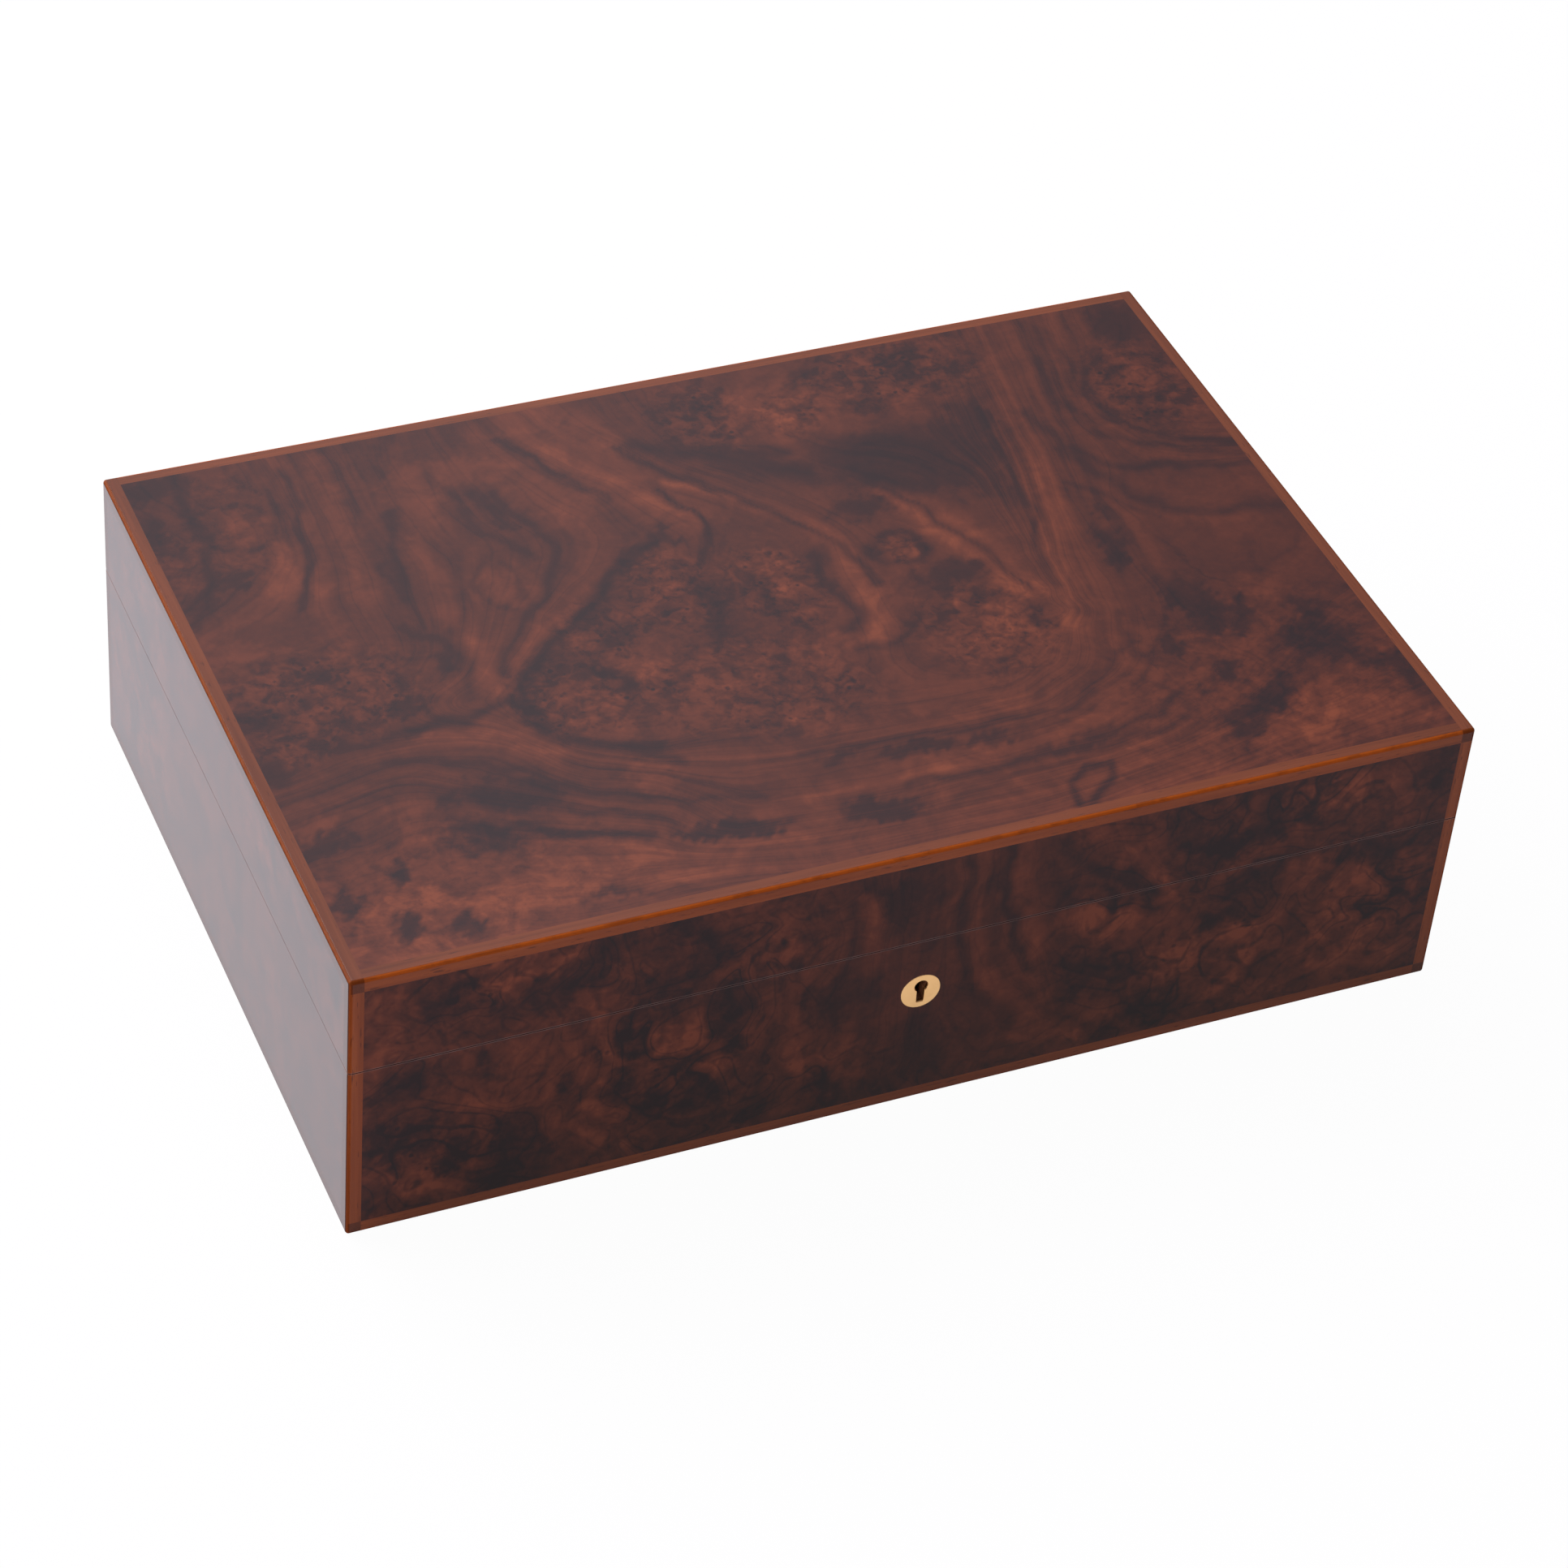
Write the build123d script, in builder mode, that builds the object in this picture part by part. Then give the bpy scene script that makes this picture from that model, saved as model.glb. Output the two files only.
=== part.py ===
"""A desk humidor: a hinged, lockable box in burl veneer with a cedar lining and a lift-out tray.

Millimetres. X runs along the front, Y from the front to the back and Z up.
The origin is on the surface that the box stands on, under its middle.
"""
from build123d import *
import os
from math import cos, radians, sin

os.makedirs("parts", exist_ok=True)

# Driving dimensions of the case
box_width = 400.0
box_depth = 270.0
base_height = 72.7
lid_height = 39.4
seam_gap = 0.3
wall_thickness = 12.0
veneer_thickness = 0.8
band_size = 5.0
edge_radius = 1.2
felt_thickness = 1.0
felt_inset = 7.0
top_panel_thickness = 10.0
back_bevel_depth = 1.3
back_bevel_height = 3.3

# Cedar lining
liner_thickness = 5.0
lip_height = 7.0
lip_clearance = 0.5
lip_chamfer = 1.0
lip_headroom = 0.8
floor_liner_thickness = 4.0
lid_liner_thickness = 4.0
ceiling_liner_thickness = 3.0

# Tray and lower compartments
ledge_width = 8.0
ledge_height = 6.0
compartment_height = 31.0
lower_divider_thickness = 5.0
lower_divider_x = 65.0
lower_divider_gap = 0.5
tray_height = 36.0
tray_wall = 5.0
tray_floor_thickness = 3.0
tray_clearance = 0.5
tray_divider_thickness = 4.0
tray_divider_x = -55.0
tray_divider_drop = 6.0
divider_clearance = 0.3
finger_notch_width = 40.0
finger_notch_depth = 12.0
finger_notch_radius = 5.0

# Stop hinges
hinge_length = 40.0
hinge_from_side = 88.0
leaf_thickness = 1.6
leaf_depth = 9.0
knuckle_radius = 3.0
knuckle_gap = 0.2
pin_radius = 1.2
pin_fit = 0.05
recess_clearance = 0.3
stop_reach = 5.0
stop_thickness = 1.2
stop_base_angle = -45.0
lid_opening_angle = 95.0
stop_spare_angle = 22.0
hinge_screw_inset = 5.6
hinge_screw_spacing = 13.0

# Wood screws, all of one size
screw_head_radius = 2.1
screw_shank_radius = 1.1
screw_length = 9.0
screw_point = 1.5
screw_slot_width = 0.6
screw_slot_depth = 0.5
screw_fit = 0.05

# Box lock, its strike and the keyhole
mortise_fit = 0.1
lock_width = 40.0
lock_height = 32.0
lock_depth = 8.0
lock_wall = 1.0
lock_cover_thickness = 1.2
rim_plate_width = 54.0
rim_plate_depth = 10.0
rim_plate_thickness = 1.6
rim_screw_inset = 3.6
rim_screw_setback = 5.0
bolt_left = -16.0
bolt_right = 1.7
bolt_top_drop = 5.0
bolt_bottom_drop = 15.2
bolt_travel = 6.0
bolt_running_gap = 0.3
bolt_nose_length = 4.8
bolt_nose_height = 4.0
bolt_nose_thickness = 2.0
talon_width = 5.0
talon_depth = 3.0
spring_thickness = 0.4
spring_length = 13.0
spring_width = 3.0
spring_gap = 0.3
strike_length = 36.0
strike_depth = 7.0
strike_thickness = 1.6
strike_screw_spacing = 26.0
lug_left = 8.0
lug_thickness = 2.0
lug_width = 4.6
lug_drop = 10.7
lug_hole_width = 3.0
lug_hole_margin = 0.5
lug_slot_clearance = 0.5
keyhole_drop = 20.5
keyhole_round_radius = 2.4
keyhole_slot_width = 2.7
keyhole_slot_drop = 6.9
escutcheon_radius = 7.2
escutcheon_thickness = 1.5
escutcheon_proud = 0.3
escutcheon_rounding = 0.25
inlay_fit = 0.05
key_pin_radius = 1.2
key_pin_setback = 3.0

# Hygrometer under the lid
hygrometer_from_side = 92.0
hygrometer_radius = 28.0
hygrometer_height = 12.0
hygrometer_wall = 1.2
bezel_radius = 25.0
bezel_thickness = 1.0
glass_thickness = 1.2
glass_fit = 0.1
dial_thickness = 0.8
dial_height = 7.0
needle_length = 19.0
needle_tail = 6.0
needle_width = 1.2
needle_thickness = 0.4
needle_lift = 2.0
needle_hub_radius = 2.0
spindle_radius = 0.8
spindle_fit = 0.05
spindle_behind_dial = 3.0
needle_rest_angle = 54.0
coil_inner_radius = 1.4
coil_strip = 0.3
coil_pitch = 1.1
coil_half_turns = 7
coil_height = 2.0

# Humidifier under the lid
humidifier_from_side = 138.0
humidifier_length = 130.0
humidifier_width = 62.0
humidifier_height = 14.0
humidifier_wall = 2.0
humidifier_corner = 6.0
vent_slot_width = 3.2
vent_slot_length = 40.0
vent_slot_pitch = 8.0
vent_slot_count = 13
shutter_thickness = 1.5
shutter_gap = 0.2
shutter_travel = 4.0
shutter_side_gap = 0.4
tab_width = 6.0
tab_depth = 3.0
tab_height = 2.2
tab_offset = 25.5
foam_gap = 0.3

# Heights and planes that follow from the driving dimensions
body_bottom = felt_thickness
base_top = body_bottom + base_height
lid_bottom = base_top + seam_gap
body_top = lid_bottom + lid_height
base_inner = wall_thickness
lid_inner = wall_thickness - lip_clearance
room_inset = wall_thickness + liner_thickness
room_half_width = box_width / 2 - room_inset
room_half_depth = box_depth / 2 - room_inset
floor_top = body_bottom + band_size + floor_liner_thickness
ledge_top = floor_top + compartment_height
tray_top = ledge_top + tray_height
lip_top = base_top + lip_height
panel_bottom = body_top - veneer_thickness - top_panel_thickness
ceiling = panel_bottom - ceiling_liner_thickness
hygrometer_x = box_width / 2 - hygrometer_from_side
humidifier_x = humidifier_from_side - box_width / 2
hinge_offset = box_width / 2 - hinge_from_side
hinge_y = box_depth / 2
hinge_z = base_top + seam_gap / 2
knuckle_length = hinge_length / 3
knuckle_clearance_radius = knuckle_radius + recess_clearance
lock_face_y = -box_depth / 2 + wall_thickness
lock_cavity_front = lock_face_y - lock_depth + lock_wall
lock_cavity_back = lock_face_y - lock_cover_thickness
lock_centre_y = (lock_cavity_front + lock_cavity_back) / 2
lock_case_top = base_top - rim_plate_thickness
lock_case_bottom = lock_case_top - lock_height
keyhole_z = base_top - keyhole_drop
# The round plate is centred on the whole keyhole, not on its round top
escutcheon_z = keyhole_z - (keyhole_slot_drop - keyhole_round_radius) / 2
escutcheon_front = -box_depth / 2 - escutcheon_proud
escutcheon_back = escutcheon_front + escutcheon_thickness
veneer_half_width = box_width / 2 - band_size
veneer_half_depth = box_depth / 2 - band_size
touch = 0.001


def keep(piece, name):
    """Label one finished piece and write it to its own file."""
    piece.part.label = name
    export_step(piece.part, f"parts/{name}.step")


def block(low, high):
    """A board between two opposite corners."""
    with BuildPart() as board:
        with BuildSketch(Plane.XY.offset(low[2])):
            with Locations(((low[0] + high[0]) / 2, (low[1] + high[1]) / 2)):
                Rectangle(high[0] - low[0], high[1] - low[1])
        extrude(amount=high[2] - low[2])
    return board


def half_length(side):
    """Half of the length of one side of the box."""
    if side in ("front", "back"):
        return box_width / 2
    return box_depth / 2


def plan_point(side, along, inward):
    """Plan position on a side: along it from its middle, and inward from the box's outer face."""
    if side == "front":
        return (along, -box_depth / 2 + inward)
    if side == "back":
        return (-along, box_depth / 2 - inward)
    if side == "left":
        return (-box_width / 2 + inward, -along)
    return (box_width / 2 - inward, along)


def upright(side, outline, bottom, top):
    """A board that stands on one side, from its outline in (along, inward) points."""
    with BuildPart() as board:
        with BuildSketch(Plane.XY.offset(bottom)):
            with BuildLine():
                Polyline(*[plan_point(side, along, inward) for along, inward in outline], close=True)
            make_face()
        extrude(amount=top - bottom)
    return board


def mitred_board(side, outer, inner, bottom, top):
    """A board of the lining: a trapezium in plan, with mitred ends."""
    half = half_length(side)
    outline = [
        (-half + outer, outer),
        (half - outer, outer),
        (half - inner, inner),
        (-half + inner, inner),
    ]
    return upright(side, outline, bottom, top)


def core_wall(side, inner, bottom, top):
    """A mitred core wall, rebated at its outer corners for the solid corner strips."""
    half = half_length(side)
    outline = [
        (-half + band_size, veneer_thickness),
        (half - band_size, veneer_thickness),
        (half - band_size, band_size),
        (half - inner, inner),
        (-half + inner, inner),
        (-half + band_size, band_size),
    ]
    return upright(side, outline, bottom, top)


def veneer_sheet(side, bottom, top):
    """A veneer sheet on one side, between the corner strips."""
    half = half_length(side) - band_size
    outline = [(-half, 0), (half, 0), (half, veneer_thickness), (-half, veneer_thickness)]
    return upright(side, outline, bottom, top)


def is_arris(edge):
    """True for an edge that lies on two outer faces of the closed box."""
    middle = edge.center()
    faces_met = [
        abs(abs(middle.X) - box_width / 2) < touch,
        abs(abs(middle.Y) - box_depth / 2) < touch,
        min(abs(middle.Z - body_bottom), abs(middle.Z - body_top)) < touch,
    ]
    return sum(faces_met) >= 2


def end_strips(bottom, top):
    """The two solid strips that run the full depth, with their end grain at the front and back."""
    with BuildPart() as strips:
        for side in (-1, 1):
            centre_x = side * (box_width - band_size) / 2
            with BuildSketch(Plane.XY.offset(bottom)):
                with Locations((centre_x, 0)):
                    Rectangle(band_size, box_depth)
            extrude(amount=top - bottom)
        fillet(strips.edges().filter_by(is_arris), radius=edge_radius)
    return strips


def long_strips(bottom, top):
    """The two solid strips at the front and back, butted between the end strips."""
    with BuildPart() as strips:
        for side in (-1, 1):
            centre_y = side * (box_depth - band_size) / 2
            with BuildSketch(Plane.XY.offset(bottom)):
                with Locations((0, centre_y)):
                    Rectangle(box_width - 2 * band_size, band_size)
            extrude(amount=top - bottom)
        fillet(strips.edges().filter_by(is_arris), radius=edge_radius)
    return strips


def corner_strips(bottom, top):
    """The four upright solid strips at the corners."""
    with BuildPart() as strips:
        with BuildSketch(Plane.XY.offset(bottom)):
            with GridLocations(box_width - band_size, box_depth - band_size, 2, 2):
                Rectangle(band_size, band_size)
        extrude(amount=top - bottom)
        fillet(strips.edges().filter_by(is_arris), radius=edge_radius)
    return strips


def screw_body(head_radius, shank_radius):
    """A countersunk screw that points down, with the top of its head at the origin."""
    cone = head_radius - shank_radius
    with BuildPart() as body:
        with BuildSketch(Plane.XZ):
            with BuildLine():
                Polyline(
                    (0, 0),
                    (head_radius, 0),
                    (shank_radius, -cone),
                    (shank_radius, -screw_length + screw_point),
                    (0, -screw_length),
                    close=True,
                )
            make_face()
        revolve(axis=Axis.Z)
    return body


def slotted_screw():
    """One wood screw with its driver slot, which is cut right across the head."""
    body = screw_body(screw_head_radius, screw_shank_radius)
    slot_cut_length = 3 * screw_head_radius
    with BuildPart() as screw:
        add(body.part)
        with BuildSketch(Plane.XY.offset(-screw_slot_depth)):
            Rectangle(slot_cut_length, screw_slot_width)
        extrude(amount=2 * screw_slot_depth, mode=Mode.SUBTRACT)
    return screw


def placed(body, places):
    """Copies of one piece at several places, as separate solids."""
    with BuildPart() as copies:
        with Locations(*places):
            add(body.part)
    return copies


def hinge_screw_places(height, turn):
    """The screws of one row of leaves: three in each of the two hinges."""
    places = []
    for centre in (-hinge_offset, hinge_offset):
        for step in (-1, 0, 1):
            x = centre + step * hinge_screw_spacing
            places.append(Location((x, hinge_y - hinge_screw_inset, height), (turn, 0, 0)))
    return places


def rim_screw_places(spacing, y, height, turn):
    """A pair of screws on the centre line of the lock."""
    return [Location((side * spacing / 2, y, height), (turn, 0, 0)) for side in (-1, 1)]


def keyhole_cutter(front, back):
    """The keyhole's outline, as a solid between two depths: a round top and a slot below it."""
    with BuildPart() as cutter:
        with BuildSketch(Plane.XZ.offset(-front)):
            with Locations((0, keyhole_z)):
                Circle(keyhole_round_radius)
            with Locations((0, keyhole_z - keyhole_slot_drop / 2)):
                Rectangle(keyhole_slot_width, keyhole_slot_drop)
        extrude(amount=front - back)
    return cutter


def disc(radius, front, back):
    """A round plate on the keyhole's axis between two depths."""
    with BuildPart() as plate:
        with BuildSketch(Plane.XZ.offset(-front)):
            with Locations((0, escutcheon_z)):
                Circle(radius)
        extrude(amount=front - back)
    return plate


# Screws and their holes
screw = slotted_screw()
screw_hole = screw_body(screw_head_radius + screw_fit, screw_shank_radius + screw_fit)
rim_screw_spacing = rim_plate_width - 2 * rim_screw_inset
rim_screw_y = lock_face_y - rim_screw_setback
base_screw_places = hinge_screw_places(base_top, 0) + rim_screw_places(
    rim_screw_spacing, rim_screw_y, base_top, 0
)
lid_screw_places = hinge_screw_places(lid_bottom, 180) + rim_screw_places(
    strike_screw_spacing, lock_centre_y, lid_bottom, 180
)
base_screw_holes = placed(screw_hole, base_screw_places)
lid_screw_holes = placed(screw_hole, lid_screw_places)

keep(placed(screw, base_screw_places), "base_screws")
keep(placed(screw, lid_screw_places), "lid_screws")


def hinge_mortises(bottom, top):
    """The cuts for two hinges: a mortise for each leaf and a round recess for its knuckles."""
    with BuildPart() as cuts:
        for centre in (-hinge_offset, hinge_offset):
            reach = hinge_length / 2 + mortise_fit
            depth = leaf_depth + mortise_fit
            with BuildSketch(Plane.XY.offset(bottom)):
                with Locations((centre, hinge_y - depth / 2 + knuckle_radius / 2)):
                    Rectangle(2 * reach, depth + knuckle_radius)
            extrude(amount=top - bottom)
            with BuildSketch(Plane.YZ.offset(centre - reach)):
                with Locations((hinge_y, hinge_z)):
                    Circle(knuckle_clearance_radius)
            extrude(amount=2 * reach)
    return cuts


# Cuts that several pieces share
base_hinge_cuts = hinge_mortises(base_top - leaf_thickness, base_top + knuckle_radius)
lid_hinge_cuts = hinge_mortises(lid_bottom - knuckle_radius, lid_bottom + leaf_thickness)
keyhole_cut = keyhole_cutter(-box_depth / 2 - 2 * escutcheon_proud, lock_cavity_front)
escutcheon_cut = disc(escutcheon_radius + inlay_fit, -box_depth / 2 - escutcheon_proud, escutcheon_back)

with BuildPart() as back_bevel:
    with BuildSketch(Plane.YZ.offset(-box_width / 2)):
        with BuildLine():
            Polyline(
                (box_depth / 2 - back_bevel_depth, lid_bottom),
                (box_depth / 2, lid_bottom),
                (box_depth / 2, lid_bottom + back_bevel_height),
                close=True,
            )
        make_face()
    extrude(amount=box_width)

# Base: bottom panel and felt
panel_low = (-veneer_half_width, -veneer_half_depth, body_bottom)
panel_high = (veneer_half_width, veneer_half_depth, body_bottom + band_size)
keep(block(panel_low, panel_high), "base_bottom_panel")

felt_half_width = box_width / 2 - felt_inset
felt_half_depth = box_depth / 2 - felt_inset
felt = block((-felt_half_width, -felt_half_depth, 0), (felt_half_width, felt_half_depth, felt_thickness))
keep(felt, "base_felt")

# Base: solid strips along the bottom edges and up the corners
wall_bottom = body_bottom + band_size
keep(end_strips(body_bottom, wall_bottom), "base_bottom_end_banding")
keep(long_strips(body_bottom, wall_bottom), "base_bottom_long_banding")
keep(corner_strips(wall_bottom, base_top), "base_corner_banding")

# Base: core walls
for side in ("left", "right"):
    keep(core_wall(side, base_inner, wall_bottom, base_top), f"base_{side}_wall")

base_back_core = core_wall("back", base_inner, wall_bottom, base_top)
with BuildPart() as base_back_wall:
    add(base_back_core.part)
    add(base_hinge_cuts.part, mode=Mode.SUBTRACT)
    add(base_screw_holes.part, mode=Mode.SUBTRACT)
keep(base_back_wall, "base_back_wall")

base_front_core = core_wall("front", base_inner, wall_bottom, base_top)
lock_pocket = block(
    (-lock_width / 2 - mortise_fit, lock_face_y - lock_depth - mortise_fit, lock_case_bottom - mortise_fit),
    (lock_width / 2 + mortise_fit, lock_face_y, base_top),
)
rim_plate_mortise = block(
    (-rim_plate_width / 2 - mortise_fit, lock_face_y - rim_plate_depth - mortise_fit, lock_case_top),
    (rim_plate_width / 2 + mortise_fit, lock_face_y, base_top),
)
with BuildPart() as base_front_wall:
    add(base_front_core.part)
    add(lock_pocket.part, mode=Mode.SUBTRACT)
    add(rim_plate_mortise.part, mode=Mode.SUBTRACT)
    add(base_screw_holes.part, mode=Mode.SUBTRACT)
    add(keyhole_cut.part, mode=Mode.SUBTRACT)
    add(escutcheon_cut.part, mode=Mode.SUBTRACT)
keep(base_front_wall, "base_front_wall")

# Base: burl veneer
base_front_sheet = veneer_sheet("front", wall_bottom, base_top)
with BuildPart() as base_front_veneer:
    add(base_front_sheet.part)
    add(escutcheon_cut.part, mode=Mode.SUBTRACT)
keep(base_front_veneer, "base_front_veneer")

base_back_sheet = veneer_sheet("back", wall_bottom, base_top)
with BuildPart() as base_back_veneer:
    add(base_back_sheet.part)
    add(base_hinge_cuts.part, mode=Mode.SUBTRACT)
keep(base_back_veneer, "base_back_veneer")


def end_veneers(bottom, top):
    """The veneer sheets of the left and right sides."""
    sheets = [veneer_sheet(side, bottom, top) for side in ("left", "right")]
    with BuildPart() as pair:
        for sheet in sheets:
            add(sheet.part)
    return pair


keep(end_veneers(wall_bottom, base_top), "base_end_veneers")

# Base: cedar lining, which stands above the rim as a lip
for side in ("front", "back", "left", "right"):
    board = mitred_board(side, base_inner, room_inset, wall_bottom, lip_top)
    with BuildPart() as liner:
        add(board.part)
        outer_top_edge = liner.edges().group_by(Axis.Z)[-1].sort_by(SortBy.LENGTH)[-1]
        chamfer(outer_top_edge, length=lip_chamfer)
    keep(liner, f"base_{side}_liner")

floor_low = (-room_half_width, -room_half_depth, wall_bottom)
floor_high = (room_half_width, room_half_depth, floor_top)
keep(block(floor_low, floor_high), "base_floor_liner")

# Base: the two ledges that carry the tray, and the divider below it
with BuildPart() as tray_ledges:
    with BuildSketch(Plane.XY.offset(ledge_top - ledge_height)):
        with GridLocations(2 * room_half_width - ledge_width, 0, 2, 1):
            Rectangle(ledge_width, 2 * room_half_depth)
    extrude(amount=ledge_height)
keep(tray_ledges, "tray_ledges")

lower_divider = block(
    (lower_divider_x - lower_divider_thickness / 2, -room_half_depth, floor_top),
    (lower_divider_x + lower_divider_thickness / 2, room_half_depth, ledge_top - lower_divider_gap),
)
keep(lower_divider, "lower_divider")


# Stop hinges: each leaf has its knuckles and a stop bar, which meet when the lid is fully open
def knuckle_spans(centre, own):
    """Stations of a leaf's knuckles, as (start, end): the outer two or the middle one."""
    start = centre - hinge_length / 2
    spans = []
    for number in range(3):
        if (number != 1) == (own == "base"):
            spans.append((start + number * knuckle_length, start + (number + 1) * knuckle_length))
    return spans


def hinge_leaf(centre, own):
    """One leaf: a plate let into the rim, its share of the knuckles and its stop bar."""
    other = "lid" if own == "base" else "base"
    plate_bottom = base_top - leaf_thickness if own == "base" else lid_bottom
    if own == "base":
        stop_span = (centre - hinge_length / 2, centre + hinge_length / 2)
        stop_angle = stop_base_angle
        holes = base_screw_holes
    else:
        stop_span = (centre - knuckle_length / 2 + knuckle_gap, centre + knuckle_length / 2 - knuckle_gap)
        stop_angle = stop_base_angle + lid_opening_angle + stop_spare_angle
        holes = lid_screw_holes
    with BuildPart() as leaf:
        with BuildSketch(Plane.XY.offset(plate_bottom)):
            with Locations((centre, hinge_y - leaf_depth / 2)):
                Rectangle(hinge_length, leaf_depth)
        extrude(amount=leaf_thickness)
        for start, end in knuckle_spans(centre, own):
            with BuildSketch(Plane.YZ.offset(start)):
                with Locations((hinge_y, hinge_z)):
                    Circle(knuckle_radius)
            extrude(amount=end - start)
        with BuildSketch(Plane.YZ.offset(stop_span[0])):
            with Locations((hinge_y, hinge_z)):
                Rectangle(
                    stop_reach,
                    stop_thickness,
                    rotation=stop_angle,
                    align=(Align.MIN, Align.CENTER),
                )
        extrude(amount=stop_span[1] - stop_span[0])
        for start, end in knuckle_spans(centre, other):
            with BuildSketch(Plane.YZ.offset(start - knuckle_gap)):
                with Locations((hinge_y, hinge_z)):
                    Circle(knuckle_clearance_radius)
            extrude(amount=end - start + 2 * knuckle_gap, mode=Mode.SUBTRACT)
        with BuildSketch(Plane.YZ.offset(centre - hinge_length / 2)):
            with Locations((hinge_y, hinge_z)):
                Circle(pin_radius + pin_fit)
        extrude(amount=hinge_length, mode=Mode.SUBTRACT)
        add(holes.part, mode=Mode.SUBTRACT)
    return leaf


for own in ("base", "lid"):
    leaves = [hinge_leaf(centre, own) for centre in (-hinge_offset, hinge_offset)]
    with BuildPart() as pair:
        for leaf in leaves:
            add(leaf.part)
    keep(pair, f"hinge_{own}_leaves")

with BuildPart() as hinge_pins:
    for centre in (-hinge_offset, hinge_offset):
        with BuildSketch(Plane.YZ.offset(centre - hinge_length / 2)):
            with Locations((hinge_y, hinge_z)):
                Circle(pin_radius)
        extrude(amount=hinge_length)
keep(hinge_pins, "hinge_pins")

# Lock: a case that hangs from its rim plate, closed by a cover on the inner side
lug_slot_low = (
    lug_left - lug_slot_clearance,
    lock_centre_y - lug_width / 2 - lug_slot_clearance,
    lock_case_top,
)
lug_slot_high = (
    lug_left + lug_thickness + lug_slot_clearance,
    lock_centre_y + lug_width / 2 + lug_slot_clearance,
    base_top,
)
case_shell = block(
    (-lock_width / 2, lock_face_y - lock_depth, lock_case_bottom),
    (lock_width / 2, lock_cavity_back, lock_case_top),
)
rim_plate = block(
    (-rim_plate_width / 2, lock_face_y - rim_plate_depth, lock_case_top),
    (rim_plate_width / 2, lock_face_y, base_top),
)
case_cavity = block(
    (-lock_width / 2 + lock_wall, lock_cavity_front, lock_case_bottom + lock_wall),
    (lock_width / 2 - lock_wall, lock_cavity_back, lock_case_top),
)
lug_slot = block(lug_slot_low, lug_slot_high)
with BuildPart() as lock_case:
    add(case_shell.part)
    add(rim_plate.part)
    add(case_cavity.part, mode=Mode.SUBTRACT)
    add(lug_slot.part, mode=Mode.SUBTRACT)
    add(base_screw_holes.part, mode=Mode.SUBTRACT)
    add(keyhole_cut.part, mode=Mode.SUBTRACT)
keep(lock_case, "lock_case")

lock_cover = block(
    (-lock_width / 2, lock_cavity_back, lock_case_bottom),
    (lock_width / 2, lock_face_y, lock_case_top),
)
keep(lock_cover, "lock_cover")

with BuildPart() as lock_key_pin:
    with BuildSketch(Plane.XZ.offset(-lock_cavity_back)):
        with Locations((0, keyhole_z)):
            Circle(key_pin_radius)
    extrude(amount=lock_cavity_back + box_depth / 2 - key_pin_setback)
keep(lock_key_pin, "lock_key_pin")

# Lock: the bolt slides to the right, through the eye of the strike's lug
bolt_half_thickness = (lock_cavity_back - lock_cavity_front) / 2 - bolt_running_gap
bolt_top = base_top - bolt_top_drop
bolt_bottom = base_top - bolt_bottom_drop
talon_x = -bolt_travel / 2
bolt_plate = block(
    (bolt_left, lock_centre_y - bolt_half_thickness, bolt_bottom),
    (bolt_right, lock_centre_y + bolt_half_thickness, bolt_top),
)
bolt_nose = block(
    (bolt_right, lock_centre_y - bolt_nose_thickness / 2, bolt_top - bolt_nose_height),
    (bolt_right + bolt_nose_length, lock_centre_y + bolt_nose_thickness / 2, bolt_top),
)
talon = block(
    (talon_x - talon_width / 2, lock_centre_y - bolt_half_thickness, bolt_bottom),
    (talon_x + talon_width / 2, lock_centre_y + bolt_half_thickness, bolt_bottom + talon_depth),
)
with BuildPart() as lock_bolt:
    add(bolt_plate.part)
    add(bolt_nose.part)
    add(talon.part, mode=Mode.SUBTRACT)
keep(lock_bolt, "lock_bolt")

# Lock: a bowed flat spring between the rim plate and the bolt
spring_left = bolt_left + bolt_travel - spring_thickness
spring_right = spring_left + spring_length
spring_middle = (spring_left + spring_right) / 2
spring_low = bolt_top + spring_gap
with BuildPart() as lock_spring:
    with BuildSketch(Plane.XZ.offset(-lock_centre_y - spring_width / 2)):
        with BuildLine():
            ThreePointArc(
                (spring_left, lock_case_top),
                (spring_middle, spring_low + spring_thickness),
                (spring_right, lock_case_top),
            )
            Line((spring_right, lock_case_top), (spring_right + spring_thickness, lock_case_top))
            ThreePointArc(
                (spring_right + spring_thickness, lock_case_top),
                (spring_middle, spring_low),
                (spring_left - spring_thickness, lock_case_top),
            )
            Line((spring_left - spring_thickness, lock_case_top), (spring_left, lock_case_top))
        make_face()
    extrude(amount=spring_width)
keep(lock_spring, "lock_spring")

# Lock: the strike in the lid's rim, with its eye
strike_blank = block(
    (-strike_length / 2, lock_centre_y - strike_depth / 2, lid_bottom),
    (strike_length / 2, lock_centre_y + strike_depth / 2, lid_bottom + strike_thickness),
)
strike_lug = block(
    (lug_left, lock_centre_y - lug_width / 2, base_top - lug_drop),
    (lug_left + lug_thickness, lock_centre_y + lug_width / 2, lid_bottom),
)
lug_eye = block(
    (lug_left, lock_centre_y - lug_hole_width / 2, bolt_top - bolt_nose_height - lug_hole_margin),
    (lug_left + lug_thickness, lock_centre_y + lug_hole_width / 2, bolt_top + lug_hole_margin),
)
with BuildPart() as strike_plate:
    add(strike_blank.part)
    add(strike_lug.part)
    add(lug_eye.part, mode=Mode.SUBTRACT)
    add(lid_screw_holes.part, mode=Mode.SUBTRACT)
keep(strike_plate, "strike_plate")

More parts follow.
